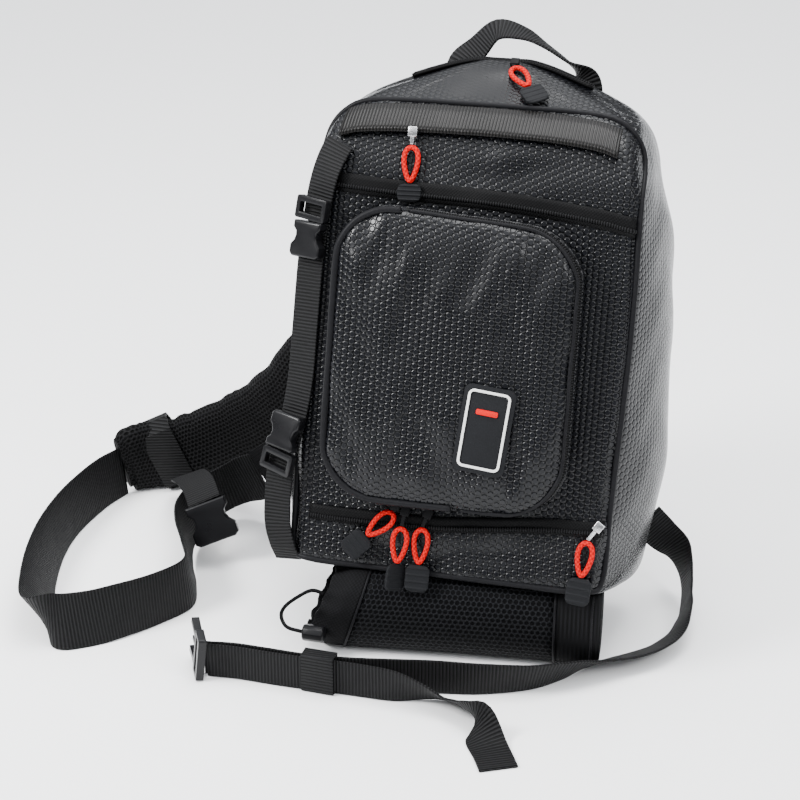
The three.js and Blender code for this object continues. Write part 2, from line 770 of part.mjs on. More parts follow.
// Zip pulls: a slider, a red cord loop and a rubber tag each

// across and up: where the loop starts, out: how far that stands off the bag, arm: from there to
// the slider, swing: degrees that the arm leans to the right, hang: degrees that the loop swings
// to the right, tip: degrees that it goes into the bag, twist: degrees that the tag is turned,
// tagL: of the tag's length.
const PULLS = rows(
  ["name", "across", "up", "out", "arm", "swing", "hang", "tip", "twist", "tagL"],
  [
    ["upper", -0.385, 0.824, 4.9, 5, 0, 2, -5, 0, 0.66],
    ["low_a", -0.26, 0.097, 6.5, 7, 8, -2, -6, 55, 1],
    ["low_b", -0.137, 0.099, 4.5, 6.5, 18, -1, -4, 10, 1],
    ["low_c", -0.31, 0.122, 5.5, 1.4, 0, -45, -3, 0, 1],
    ["right", 0.85, 0.111, 3.7, 8, 34, -5, -2, 0, 1],
    ["main", 0.09, 0.987, 4.2, 2, 0, 34, -52, 0, 1],
  ],
);
function pullPieces({ name, across, up, out, arm, swing, hang, tip, twist, tagL }) {
  const local = new THREE.Group();
  local.position.copy(front(across, up, out));
  local.rotation.x = tip * RAD;
  bag.add(local);
  const metal = name === "right" || name === "upper";
  const slider = new THREE.BoxGeometry(SLIDER_W, SLIDER_H, SLIDER_L);
  slider.translate(0, 0, arm + SLIDER_L / 2);
  const puller = new THREE.BoxGeometry(PULLER_W, PULLER_W / 2, arm + SLIDER_L / 2);
  puller.translate(0, 0, (arm + SLIDER_L / 2) / 2);
  const joined = geometryOf(solid(slider).add(solid(puller))).rotateY(swing * RAD);
  add(local, "slider_" + name, joined, metal ? "metal" : "tape");
  const start = -GAP - CORD_R;
  const points = [];
  for (let i = 0; i < 12; i++) {
    const t = (2 * Math.PI * i) / 12;
    const narrow = 0.74 + 0.26 * Math.cos(t);
    const down = (LOOP_L / 2 - CORD_R) * (1 - Math.cos(t));
    points.push(V((LOOP_W / 2) * Math.sin(t) * narrow, 0, start - down));
  }
  const loop = tube(points, CORD_R, 5, 16, true).rotateY(-hang * RAD);
  add(local, "loop_" + name, loop, "red");
  const tag = plate(TAG_W, TAG_L * tagL, 4.5, TAG_THICK).rotateZ(twist * RAD);
  const tagUp = start - LOOP_L + CORD_R - GAP - (TAG_L * tagL) / 2;
  tag.translate(0, 0, tagUp).rotateY(-hang * RAD);
  add(local, "tag_" + name, tag, "rubber");
}
PULLS.forEach(pullPieces);

// Bottle pocket under the bag, open at its left end

const bottomPlane = (y) => BAG_AT.z - (y - BAG_AT.y) * Math.tan(LEAN * RAD);
// Ring round the bottle pocket at a section, a squarish round pressed against the bag's bottom.
function bottleRing({ x, share, slant }, wall, past = 0) {
  const ring = [];
  const middle = BOTTLE_R - BOTTLE_SEAT;
  const radius = BOTTLE_R * share - wall;
  for (let i = 0; i < 20; i++) {
    const turn = (2 * Math.PI * (i + 0.5)) / 20;
    const [c, s] = [Math.cos(turn), Math.sin(turn)];
    const full = (Math.abs(c) ** 2.6 + Math.abs(s) ** 2.6) ** (-1 / 2.6);
    const rise = radius * full * s;
    const along = x + past + (slant * rise) / BOTTLE_R;
    const p = V(along, radius * full * c, 0).applyAxisAngle(V(0, 0, 1), BOTTLE_TURN * RAD);
    p.z = Math.min(Math.max(middle + rise, wall), bottomPlane(p.y) - 3 * GAP - wall);
    ring.push(p);
  }
  return ring;
}
function bottleTube(sections, closedEnd = false) {
  const outer = loft(sections.map((section) => bottleRing(section, 0)));
  const inner = sections.map((section, i) => {
    const last = i === sections.length - 1;
    const past = last ? (closedEnd ? -BOTTLE_WALL : 1) : i === 0 ? -1 : 0;
    return bottleRing(section, BOTTLE_WALL, past);
  });
  return geometryOf(solid(outer).subtract(solid(loft(inner))));
}
// Sections along x. share: of the radius, slant: how far the top leans over to the right.
const SECTION = ["x", "share", "slant"];
const mouth = -BOTTLE_LEFT - GAP - CUFF_LENGTH;
const BOTTLE_PARTS = {
  bottle_net: rows(SECTION, [
    [-BOTTLE_LEFT, 1, CUFF_SLANT],
    [-BOTTLE_LEFT / 2, 1, CUFF_SLANT / 2],
    [BOTTLE_RIGHT, 1, 0],
  ]),
  bottle_cuff: rows(SECTION, [
    [mouth, 0.76, CUFF_SLANT * 1.4],
    [mouth + 0.2 * CUFF_LENGTH, 0.84, CUFF_SLANT * 1.3],
    [mouth + 0.55 * CUFF_LENGTH, 0.98, CUFF_SLANT * 1.1],
    [-BOTTLE_LEFT - GAP, 1, CUFF_SLANT],
  ]),
  bottle_end: rows(SECTION, [
    [BOTTLE_RIGHT + GAP, 1, 0],
    [BOTTLE_RIGHT + GAP + 0.8 * END_LENGTH, 1, 0],
    [BOTTLE_RIGHT + GAP + END_LENGTH, 0.88, 0],
  ]),
};
add(root, "bottle_net", bottleTube(BOTTLE_PARTS.bottle_net), "mesh");
add(root, "bottle_cuff", bottleTube(BOTTLE_PARTS.bottle_cuff), "plain");
add(root, "bottle_end", bottleTube(BOTTLE_PARTS.bottle_end, true), "plain");

// Drawcord of the mouth and its cord lock, beside the mouth
const lock = new THREE.CylinderGeometry(LOCK_R, LOCK_R, LOCK_LENGTH, 10);
lock.rotateZ(Math.PI / 2);
const LOCK_AT = V(mouth + 0.1 * BOTTLE_R, -1.34 * BOTTLE_R, 0.58 * BOTTLE_R);
lock.translate(LOCK_AT.x, LOCK_AT.y, LOCK_AT.z);
add(root, "cord_lock", lock, "plastic");
// Places past the mouth, shares of the bottle pocket's radius.
const LACE = rows(
  ["past", "y", "up"],
  [
    [-0.2, -0.81, 1.25],
    [0.08, -0.84, 1.31],
    [0.37, -0.94, 1.16],
    [0.62, -1.0, 0.94],
    [0.69, -1.09, 0.75],
    [0.52, -1.26, 0.6],
  ],
);
const lacePoints = LACE.map((p) => V(mouth - p.past * BOTTLE_R, p.y * BOTTLE_R, p.up * BOTTLE_R));
lacePoints.push(V(LOCK_AT.x - LOCK_LENGTH / 2 - 2 * GAP, LOCK_AT.y, LOCK_AT.z));
add(root, "drawcord", tube(lacePoints, LACE_R, 5, 16), "plain");

// Straps that lie round the bag. Places are shares of the bag's width from the origin, heights
// are shares of the webbing's width, and top x, y, z is the direction of the webbing's width.
const STRAP = ["x", "y", "up", "tx", "ty", "tz", "wide", "deep"];
const SPREAD = BODY_W;
function stations(table, width) {
  return rows(STRAP, table).map((s) => ({
    at: V(s.x * SPREAD, s.y * SPREAD, s.up * width),
    across: V(s.tx, s.ty, s.tz),
    wide: s.wide,
    deep: s.deep,
  }));
}
// Point of the leaning bag in the part's frame.
const fromBag = (x, y, z) => bag.localToWorld(V(x, y, z));

const PAD_ROUTE = [
  [-1.355, 0.672, 0.49, -0.1, -0.1, 1, 0.8, 0.5],
  [-1.335, 0.698, 0.52, -0.12, -0.1, 1, 0.97, 0.9],
  [-1.28, 0.742, 0.53, -0.14, 0, 1, 1, 1],
  [-1.19, 0.775, 0.56, -0.2, 0, 1, 1, 1],
  [-1.09, 0.795, 0.7, -0.35, 0, 1, 1, 1],
  [-0.96, 0.795, 1.0, -0.5, 0, 0.9, 1, 1],
  [-0.84, 0.76, 1.38, -0.6, 0, 0.8, 1, 1],
  [-0.7, 0.71, 2.0, -0.7, 0, 0.7, 1, 1],
  [-0.54, 0.705, 3.0, -0.75, 0, 0.65, 1, 1],
  [-0.37, 0.735, 4.0, -0.8, 0.05, 0.6, 1, 0.9],
  [-0.24, 0.765, 4.75, -0.9, 0.1, 0.45, 0.9, 0.7],
];
const padForm = band(stations(PAD_ROUTE, PAD_W), PAD_W, PAD_THICK, 22, PILLOW, 0);
const bodyWorld = bodyForm.clone().applyMatrix4(bag.matrixWorld);
add(root, "shoulder_pad", trimmed(padForm, bodyWorld), "mesh");

const SLING_ROUTE = [
  [-1.352, 0.676, 0.5, -0.12, 0, 1],
  [-1.392, 0.56, 0.5, -0.18, 0, 1],
  [-1.415, 0.39, 0.5, -0.2, 0, 1],
  [-1.414, 0.25, 0.5, -0.26, 0, 1],
  [-1.396, 0.11, 0.49, -0.38, 0, 1],
  [-1.36, -0.04, 0.47, -0.5, -0.05, 1],
  [-1.31, -0.18, 0.45, -0.68, 0, 1],
  [-1.26, -0.285, 0.42, -0.85, 0.2, 1],
  [-1.2, -0.325, 0.42, -0.75, 0.2, 1],
  [-1.12, -0.3, 0.46, -0.4, 0.1, 1],
  [-1.03, -0.235, 0.5, -0.25, 0.05, 1],
  [-0.935, -0.13, 0.5, -0.1, 0, 1],
  [-0.87, -0.01, 0.5, -0.1, 0, 1],
  [-0.91, 0.11, 0.52, -0.25, 0, 1],
  [-0.965, 0.22, 0.55, -0.3, 0, 1],
  [-1.0, 0.33, 0.58, -0.3, 0, 1],
  [-0.995, 0.44, 0.62, -0.25, -0.05, 1],
  [-0.955, 0.53, 0.7, -0.1, -0.1, 1],
  [-0.89, 0.58, 0.84, 0, -0.1, 1],
  [-0.81, 0.575, 1.04, 0.1, -0.1, 1],
];
const slingForm = band(stations(SLING_ROUTE, SLING_WEB_W), SLING_WEB_W, WEB, 48, SQUARE, 0);
add(root, "shoulder_webbing", trimmed(slingForm, padForm), "webbing");

// Fabric wing between the sling's end and the bag's lower left edge.
const WING_W = 56;
const wingEnd = stations([SLING_ROUTE.at(-1)], SLING_WEB_W)[0];
const wingSeam = fromBag(-0.5 * BODY_W - 0.7 * SIDE_BULGE, 0.93 * BODY_D, 0.16 * BODY_H);
const wingWay = wingSeam.clone().sub(wingEnd.at);
const wingForm = band(
  [0, 0.5, 1].map((t) => ({
    at: wingEnd.at.clone().addScaledVector(wingWay, 0.03 + 0.97 * t),
    across: V(0.3 * (1 - t), -0.4, 1),
    wide: (SLING_WEB_W + (WING_W - SLING_WEB_W) * t) / WING_W,
  })),
  WING_W,
  WEB,
  4,
);
add(root, "shoulder_wing", trimmed(wingForm, bodyWorld, slingForm, padForm), "plain");

const WAIST_ROUTE = [
  [0.52, 0.42, 2.45, 0.1, 0.1, 1],
  [0.568, 0.445, 1.9, 0.2, 0, 1],
  [0.62, 0.455, 1.45, 0.3, -0.2, 0.9],
  [0.65, 0.43, 1.05, 0.35, -0.45, 0.8],
  [0.664, 0.385, 0.72, 0.32, -0.7, 0.62],
  [0.669, 0.325, 0.48, 0.25, -0.85, 0.47],
  [0.67, 0.25, 0.36, 0.22, -0.88, 0.42],
  [0.658, 0.155, 0.3, 0.22, -0.88, 0.42],
  [0.62, 0.075, 0.29, 0.22, -0.88, 0.42],
  [0.56, 0.008, 0.29, 0.2, -0.88, 0.42],
  [0.475, -0.058, 0.32, 0.1, -0.86, 0.5],
  [0.42, -0.11, 0.38, 0, -0.8, 0.6],
  [0.36, -0.17, 0.45, 0, -0.6, 0.8],
  [0.27, -0.235, 0.5, 0, -0.35, 0.93],
  [0.13, -0.28, 0.52, 0, -0.1, 1],
  [0.0, -0.3, 0.52, 0, 0, 1],
  [-0.12, -0.322, 0.52, 0, 0, 1],
  [-0.25, -0.345, 0.52, 0, 0, 1],
  [-0.37, -0.356, 0.52, 0, 0, 1],
  [-0.5, -0.352, 0.52, 0, 0, 1],
  [-0.6, -0.35, 0.52, 0, 0, 1],
  [-0.693, -0.362, 0.52, 0, 0, 1],
];
const waistForm = band(stations(WAIST_ROUTE, WAIST_WEB_W), WAIST_WEB_W, WEB, 46, SQUARE, 0);
add(root, "waist_webbing", trimmed(waistForm, bodyWorld), "webbing");

// Free end, folded back along the front of the strap, its hem flat on the floor.
const TAIL_ROUTE = [
  [-0.68, -0.374, 0.52, 0, 0, 1],
  [-0.59, -0.368, 0.52, 0, 0, 1],
  [-0.48, -0.372, 0.52, 0, 0, 1],
  [-0.37, -0.373, 0.52, 0, 0, 1],
  [-0.29, -0.371, 0.52, 0, 0, 1],
  [-0.2, -0.372, 0.52, 0, 0, 1],
  [-0.11, -0.376, 0.52, 0, -0.1, 1],
  [-0.03, -0.374, 0.46, 0.15, -0.5, 0.85],
  [0.035, -0.374, 0.36, 0.28, -0.8, 0.6],
  [0.08, -0.386, 0.26, 0.3, -0.85, 0.42],
  [0.12, -0.415, 0.19, 0.35, -0.85, 0.32],
  [0.155, -0.455, 0.12, 0.5, -0.78, 0.18],
  [0.19, -0.505, 0.07, 0.75, -0.5, 0.07],
  [0.225, -0.56, 0.045, 0.92, 0, 0],
  [0.26, -0.63, 0.045, 0.94, 0.33, 0],
];
const tailForm = band(stations(TAIL_ROUTE, WAIST_WEB_W), WAIST_WEB_W, WEB, 34, SQUARE, 0);
add(root, "waist_tail", trimmed(tailForm, waistForm), "webbing");

// Keeper round both layers of the waist strap.
const KEEPER_L = 22;
const KEEPER_WALL = 1;
const KEEPER_TURN = -3; // degrees
const KEEPER_AT = V(-0.335 * SPREAD, -0.3635 * SPREAD, 0.52 * WAIST_WEB_W + GAP + KEEPER_WALL);
function keeper() {
  const inside = [0.036 * SPREAD + 2 * GAP, WAIST_WEB_W + 2 * GAP];
  const hole = rounded(...inside, 0.5, THREE.Path);
  const shape = rounded(inside[0] + 2 * KEEPER_WALL, inside[1] + 2 * KEEPER_WALL, 1);
  shape.holes.push(hole);
  const walls = { depth: KEEPER_L, bevelEnabled: false, curveSegments: 1 };
  const geometry = new THREE.ExtrudeGeometry(shape, walls).translate(0, 0, -KEEPER_L / 2);
  geometry.rotateY(Math.PI / 2).rotateX(Math.PI / 2).rotateZ(KEEPER_TURN * RAD);
  return geometry.translate(KEEPER_AT.x, KEEPER_AT.y, KEEPER_AT.z);
}
add(root, "waist_keeper", trimmed(keeper(), waistForm, tailForm), "webbing");

// Clip of the waist buckle at the strap's end, with its two arms and the guide between them.
const WAIST_BUCKLE_W = WAIST_WEB_W + 5 * BUCKLE_SIDE;
const CLIP_BASE = 14;
const CLIP_ARM = 18;
function clipSolid() {
  const base = solid(barFrame(WAIST_BUCKLE_W, CLIP_BASE));
  const arms = [-1, 0, 1].map((side) => {
    const wide = side ? 4 : 2.6;
    const long = side ? CLIP_ARM : CLIP_ARM * 0.8;
    const arm = new THREE.BoxGeometry(wide, long, (side ? 0.6 : 0.4) * BUCKLE_THICK);
    arm.rotateZ(-side * 5 * RAD);
    return solid(arm.translate(side * WAIST_BUCKLE_W * 0.33, CLIP_BASE / 2 + long / 2 - 1, 0));
  });
  return geometryOf(arms.reduce((sum, arm) => sum.add(arm), base));
}
const clipStation = {
  at: V(-0.7 * SPREAD, -0.385 * SPREAD, 0.5 * WAIST_BUCKLE_W + 0.9),
  across: V(0.1, 0, 1),
  along: V(0.45, -0.86, -0.1).normalize(),
};
add(root, "waist_clip", seatedOn(clipSolid(), clipStation), "plastic");

// Webbing band round the shoulder pad.
const padCurve = new THREE.CatmullRomCurve3(stations(PAD_ROUTE, PAD_W).map((s) => s.at));
const BAND_ON_PAD = 0.27; // share of the way along the pad
const BAND_TILT = -18; // degrees that the band slants over the pad
function padBand() {
  const at = padCurve.getPoint(BAND_ON_PAD);
  const run = padCurve.getTangent(BAND_ON_PAD);
  const face = V().crossVectors(V(-0.2, 0, 1), run).normalize();
  const along = run.clone().applyAxisAngle(face, BAND_TILT * RAD);
  const up = V().crossVectors(along, face).normalize();
  const around = (grow, side, lowest) =>
    PILLOW.map(([w, t]) => {
      const p = at.clone().addScaledVector(up, w * (PAD_W / 2 / Math.cos(BAND_TILT * RAD) + grow));
      p.addScaledVector(face, t * (PAD_THICK / 2 + grow));
      p.addScaledVector(along, (side * WAIST_WEB_W) / 2);
      return p.setZ(Math.max(p.z, lowest));
    });
  const outer = loft([-1, 1].map((side) => around(2 * GAP + WEB, side, 0)));
  const inner = loft([-1.1, 1.1].map((side) => around(2 * GAP, side, WEB)));
  return geometryOf(solid(outer).subtract(solid(inner)));
}
const padBandForm = padBand();
add(root, "pad_band", trimmed(padBandForm, padForm), "webbing");

// Socket of the waist buckle, hanging from a tab of webbing over the sling's edge.
const SOCKET_RUN = V(0.42, -0.25, -0.88).normalize();
const SOCKET_ACROSS = V(0.88, 0.33, 0.3).normalize();
const SOCKET_AT = V(-0.893 * SPREAD, 0.295 * SPREAD, 1.3 * WAIST_WEB_W);
const WAIST_SOCKET_L = 30;
const SOCKET_MOUTH_L = 17; // how deep the clip goes in
const socketForm = moulded(socketOutline(WAIST_BUCKLE_W, WAIST_SOCKET_L), BUCKLE_THICK);
const socketMouth = new THREE.BoxGeometry(0.76 * WAIST_BUCKLE_W, 2 * SOCKET_MOUTH_L, 0.6 * BUCKLE_THICK);
socketMouth.translate(0, -WAIST_SOCKET_L / 2, 0);
const socketStation = { at: SOCKET_AT, across: SOCKET_ACROSS, along: SOCKET_RUN };
const openSocket = geometryOf(solid(socketForm).subtract(solid(socketMouth)));
add(root, "waist_socket", seatedOn(openSocket, socketStation), "plastic");
seatedOn(socketForm, socketStation);
const tabEnd = SOCKET_AT.clone().addScaledVector(SOCKET_RUN, -WAIST_SOCKET_L / 2 - GAP);
const TAB_ROUTE = [
  [-1.124, 0.71, 0.66],
  [-1.095, 0.61, 1.2],
  [-1.04, 0.5, 1.74],
  [-0.975, 0.4, 1.98],
].map(([x, y, up]) => V(x * SPREAD, y * SPREAD, up * WAIST_WEB_W));
const tabStations = [...TAB_ROUTE, tabEnd].map((at) => ({ at, across: SOCKET_ACROSS }));
const tabForm = band(tabStations, WAIST_WEB_W, WEB, 8);
add(root, "waist_tab", trimmed(tabForm, padForm, padBandForm, slingForm, socketForm), "webbing");

export default root;
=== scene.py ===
"""A fishing tackle sling bag: the soft pieces, finishes, floor, light and camera for its frame.

Metres, +Z up. The bag's front faces -Y, and places on the leaning bag are given in its own frame.
"""

import logging
import math
from dataclasses import dataclass, field
from enum import Enum

import bpy
import numpy as np
from mathutils import Matrix, Vector
from mathutils.bvhtree import BVHTree


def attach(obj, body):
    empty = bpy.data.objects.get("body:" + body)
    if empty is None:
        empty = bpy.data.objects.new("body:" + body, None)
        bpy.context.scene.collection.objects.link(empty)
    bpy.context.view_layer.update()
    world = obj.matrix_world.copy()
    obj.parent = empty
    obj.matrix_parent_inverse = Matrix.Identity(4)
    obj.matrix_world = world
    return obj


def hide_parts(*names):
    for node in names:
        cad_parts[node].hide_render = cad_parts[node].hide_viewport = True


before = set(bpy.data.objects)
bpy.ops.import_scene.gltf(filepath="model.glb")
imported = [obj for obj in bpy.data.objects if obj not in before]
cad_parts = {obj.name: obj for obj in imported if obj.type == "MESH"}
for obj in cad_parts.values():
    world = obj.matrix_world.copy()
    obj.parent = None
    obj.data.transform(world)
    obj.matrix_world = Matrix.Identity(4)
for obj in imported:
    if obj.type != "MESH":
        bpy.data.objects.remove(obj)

LOG = logging.getLogger("sling_bag")
MM = 0.001
BODY_H = 0.344
BODY_W = 0.222
BODY_D = 0.114
SIDE_BULGE = 0.018
CORNER = 0.009
POCKET_W = 0.158
POCKET_H = 0.192
POCKET_DEPTH = 0.027
POCKET_CORNER = 0.038
POCKET_DROP = 0.014
WEB = 0.0016
BOTTLE_R = 0.032
LEAN = math.radians(18)
BAG_AT = Vector((-0.005, -0.024, 0.062))
BAG = Matrix.Translation(BAG_AT) @ Matrix.Rotation(-LEAN, 4, "X")
GAP = 0.0003
SIDE_WEB_W = 0.021
WAIST_WEB_W = 0.025
SLING_WEB_W = 0.040
FLOOR_SIZE = 28

# Up, width, bulge, front, back and corner, as shares
BODY_SECTIONS = [
    (0.0, 0.9, 0.6, 0.035, 0.96, 1.0),
    (0.014, 0.935, 0.9, 0.0, 1.0, 1.0),
    (0.1, 0.95, 1.1, 0.0, 1.0, 1.0),
    (0.23, 0.965, 1.45, -0.01, 0.99, 1.0),
    (0.37, 0.98, 1.2, -0.01, 0.97, 1.0),
    (0.56, 0.99, 1.0, -0.005, 0.945, 1.0),
    (0.7, 0.975, 0.8, 0.0, 0.92, 1.0),
    (0.79, 0.95, 0.42, 0.005, 0.905, 1.1),
    (0.845, 0.93, 0.27, 0.055, 0.895, 1.5),
    (0.89, 0.86, 0.32, 0.16, 0.885, 2.0),
    (0.925, 0.71, 0.55, 0.29, 0.87, 2.2),
    (0.958, 0.49, 0.6, 0.41, 0.84, 2.0),
    (0.984, 0.28, 0.55, 0.5, 0.79, 1.15),
    (1.0, 0.12, 0.4, 0.59, 0.7, 0.42),
]
# Half a ring: across, puff, inset, turn, depth
BODY_OUTLINE = [
    (0.0, 0, 0, 0, 0),
    (0.3, 0, 0, 0, 0),
    (0.6, 0, 0, 0, 0),
    (1, 0, 1, 0, 0),
    (1, 0, 0.28, 0.28, 0),
    (1, 0.2, 0, 1.1, 0.02),
    (1, 0.72, 0, 0.5, 0.32),
    (1, 1, 0, 0, 0.62),
    (1, 0.92, 0, 0, 0.86),
    (1, 0.5, 0, 0, 0.97),
    (0.92, 0, 0, 0, 1),
    (0.46, 0, 0, 0, 1),
    (0, 0, 0, 0, 1),
]
# Right half of the front seam: across, up
FRONT_SEAM = [
    (0, 0.006), (0.45, 0.006), (0.84, 0.008), (0.945, 0.03), (0.955, 0.16), (0.972, 0.31),
    (0.985, 0.46), (0.985, 0.6), (0.975, 0.74), (0.96, 0.81), (0.93, 0.85), (0.86, 0.88),
    (0.74, 0.9), (0.5, 0.907), (0.2, 0.908),
]
TOP_BAND_LINE = [
    (-0.82, 0.744), (-0.5, 0.738), (-0.1, 0.734), (0.2, 0.73), (0.5, 0.722), (0.78, 0.712),
    (0.86, 0.707), (0.91, 0.704), (0.94, 0.702), (0.96, 0.7),
]
BOTTOM_BAND_LINE = [
    (-0.85, 0.102), (-0.6, 0.101), (-0.3, 0.102), (0, 0.106), (0.3, 0.116), (0.6, 0.126),
    (0.8, 0.129), (0.87, 0.13), (0.91, 0.131), (0.935, 0.131),
]
FLAP_LINE = [
    (-0.83, 0.858), (-0.7, 0.868), (-0.45, 0.874), (-0.15, 0.876), (0.15, 0.876), (0.45, 0.873),
    (0.7, 0.864), (0.82, 0.853),
]
# How far out, how far inwards
POCKET_LAYERS = [
    (-0.15, -0.08), (0.09, -0.08), (0.14, -0.02), (0.2, 0.0), (0.62, 0.0), (0.74, 0.04),
    (0.84, 0.16), (0.94, 0.5), (1.0, 1.1), (1.03, 1.6),
]
# Place, then the webbing's direction across
HANDLE = [
    (-0.29, 0.78, 0.955, 1, 0, 0),
    (-0.28, 0.79, 0.992, 1, -0.1, 0),
    (-0.2, 0.8, 1.026, 0.75, -0.6, -0.35),
    (-0.09, 0.8, 1.062, 0.3, -0.75, -0.6),
    (0.08, 0.8, 1.057, 0.15, -0.9, -0.4),
    (0.22, 0.8, 1.036, 0.1, -1, -0.15),
    (0.34, 0.8, 1.013, 0.2, -1, -0.12),
    (0.44, 0.79, 0.99, 0.7, -0.7, -0.3),
    (0.49, 0.78, 0.962, 1, -0.1, -0.2),
    (0.5, 0.78, 0.925, 1, 0, -0.2),
]
# Across, up, depth in corners, turn in degrees
SIDE_LINE = [
    (-0.78, 0.84, 0.55, 6),
    (-0.845, 0.8, 0.1, 12),
    (-0.89, 0.755, -0.1, 20),
    (-0.92, 0.7, 0, 22),
    (-0.938, 0.64, 0.14, 22),
    (-0.95, 0.57, 0.16, 22),
    (-0.955, 0.46, 0.18, 22),
    (-0.96, 0.36, 0.16, 22),
    (-0.985, 0.28, 0, 22),
    (-1.02, 0.22, -0.1, 20),
    (-1.05, 0.165, 0.1, 18),
    (-1.045, 0.08, 0.1, 18),
    (-1.01, 0.03, 0.35, 18),
    (-0.975, -0.004, 1.1, 14),
]
# Name, across, up, mm off the bag, hang, tip and twist in degrees, tag length
PULLS = [
    ("upper", -0.385, 0.824, 4.9, 2, -5, 0, 0.66),
    ("low_a", -0.26, 0.097, 6.5, -2, -6, 55, 1),
    ("low_b", -0.137, 0.099, 4.5, -1, -4, 10, 1),
    ("low_c", -0.31, 0.122, 5.5, -45, -3, 0, 1),
    ("right", 0.85, 0.111, 3.7, -5, -2, 0, 1),
    ("main", 0.09, 0.987, 4.2, 34, -52, 0, 1),
]
# Past the mouth, y, up, in shares of the pocket's radius
LACE = [
    (-0.2, -0.81, 1.25), (0.08, -0.84, 1.31), (0.37, -0.94, 1.16), (0.62, -1.0, 0.94),
    (0.69, -1.09, 0.75), (0.52, -1.26, 0.6),
]
# Routes: x, y, height, direction across and, for the pad, width and depth
PAD_ROUTE = [
    (-1.355, 0.672, 0.49, -0.1, -0.1, 1, 0.8, 0.5),
    (-1.335, 0.698, 0.52, -0.12, -0.1, 1, 0.97, 0.9),
    (-1.28, 0.742, 0.53, -0.14, 0, 1, 1, 1),
    (-1.19, 0.775, 0.56, -0.2, 0, 1, 1, 1),
    (-1.09, 0.795, 0.7, -0.35, 0, 1, 1, 1),
    (-0.96, 0.795, 1.0, -0.5, 0, 0.9, 1, 1),
    (-0.84, 0.76, 1.38, -0.6, 0, 0.8, 1, 1),
    (-0.7, 0.71, 2.0, -0.7, 0, 0.7, 1, 1),
    (-0.54, 0.705, 3.0, -0.75, 0, 0.65, 1, 1),
    (-0.37, 0.735, 4.0, -0.8, 0.05, 0.6, 1, 0.9),
    (-0.24, 0.765, 4.75, -0.9, 0.1, 0.45, 0.9, 0.7),
]
SLING_ROUTE = [
    (-1.352, 0.676, 0.5, -0.12, 0, 1),
    (-1.392, 0.56, 0.5, -0.18, 0, 1),
    (-1.415, 0.39, 0.5, -0.2, 0, 1),
    (-1.414, 0.25, 0.5, -0.26, 0, 1),
    (-1.396, 0.11, 0.49, -0.38, 0, 1),
    (-1.36, -0.04, 0.47, -0.5, -0.05, 1),
    (-1.31, -0.18, 0.45, -0.68, 0, 1),
    (-1.26, -0.285, 0.42, -0.85, 0.2, 1),
    (-1.2, -0.325, 0.42, -0.75, 0.2, 1),
    (-1.12, -0.3, 0.46, -0.4, 0.1, 1),
    (-1.03, -0.235, 0.5, -0.25, 0.05, 1),
    (-0.935, -0.13, 0.5, -0.1, 0, 1),
    (-0.87, -0.01, 0.5, -0.1, 0, 1),
    (-0.91, 0.11, 0.52, -0.25, 0, 1),
    (-0.965, 0.22, 0.55, -0.3, 0, 1),
    (-1.0, 0.33, 0.58, -0.3, 0, 1),
    (-0.995, 0.44, 0.62, -0.25, -0.05, 1),
    (-0.955, 0.53, 0.7, -0.1, -0.1, 1),
    (-0.89, 0.58, 0.84, 0, -0.1, 1),
    (-0.81, 0.575, 1.04, 0.1, -0.1, 1),
]
WAIST_ROUTE = [
    (0.52, 0.42, 2.45, 0.1, 0.1, 1),
    (0.568, 0.445, 1.9, 0.2, 0, 1),
    (0.62, 0.455, 1.45, 0.3, -0.2, 0.9),
    (0.65, 0.43, 1.05, 0.35, -0.45, 0.8),
    (0.664, 0.385, 0.72, 0.32, -0.7, 0.62),
    (0.669, 0.325, 0.48, 0.25, -0.85, 0.47),
    (0.67, 0.25, 0.36, 0.22, -0.88, 0.42),
    (0.658, 0.155, 0.3, 0.22, -0.88, 0.42),
    (0.62, 0.075, 0.29, 0.22, -0.88, 0.42),
    (0.56, 0.008, 0.29, 0.2, -0.88, 0.42),
    (0.475, -0.058, 0.32, 0.1, -0.86, 0.5),
    (0.42, -0.11, 0.38, 0, -0.8, 0.6),
    (0.36, -0.17, 0.45, 0, -0.6, 0.8),
    (0.27, -0.235, 0.5, 0, -0.35, 0.93),
    (0.13, -0.28, 0.52, 0, -0.1, 1),
    (0.0, -0.3, 0.52, 0, 0, 1),
    (-0.12, -0.322, 0.52, 0, 0, 1),
    (-0.25, -0.345, 0.52, 0, 0, 1),
    (-0.37, -0.356, 0.52, 0, 0, 1),
    (-0.5, -0.352, 0.52, 0, 0, 1),
    (-0.6, -0.35, 0.52, 0, 0, 1),
    (-0.693, -0.362, 0.52, 0, 0, 1),
]
TAIL_ROUTE = [
    (-0.68, -0.374, 0.52, 0, 0, 1),
    (-0.59, -0.368, 0.52, 0, 0, 1),
    (-0.48, -0.372, 0.52, 0, 0, 1),
    (-0.37, -0.373, 0.52, 0, 0, 1),
    (-0.29, -0.371, 0.52, 0, 0, 1),
    (-0.2, -0.372, 0.52, 0, 0, 1),
    (-0.11, -0.376, 0.52, 0, -0.1, 1),
    (-0.03, -0.374, 0.46, 0.15, -0.5, 0.85),
    (0.035, -0.374, 0.36, 0.28, -0.8, 0.6),
    (0.08, -0.386, 0.26, 0.3, -0.85, 0.42),
    (0.12, -0.415, 0.19, 0.35, -0.85, 0.32),
    (0.155, -0.455, 0.12, 0.5, -0.78, 0.18),
    (0.19, -0.505, 0.07, 0.75, -0.5, 0.07),
    (0.225, -0.56, 0.045, 0.92, 0, 0),
    (0.26, -0.63, 0.045, 0.94, 0.33, 0),
]


# Mesh kit


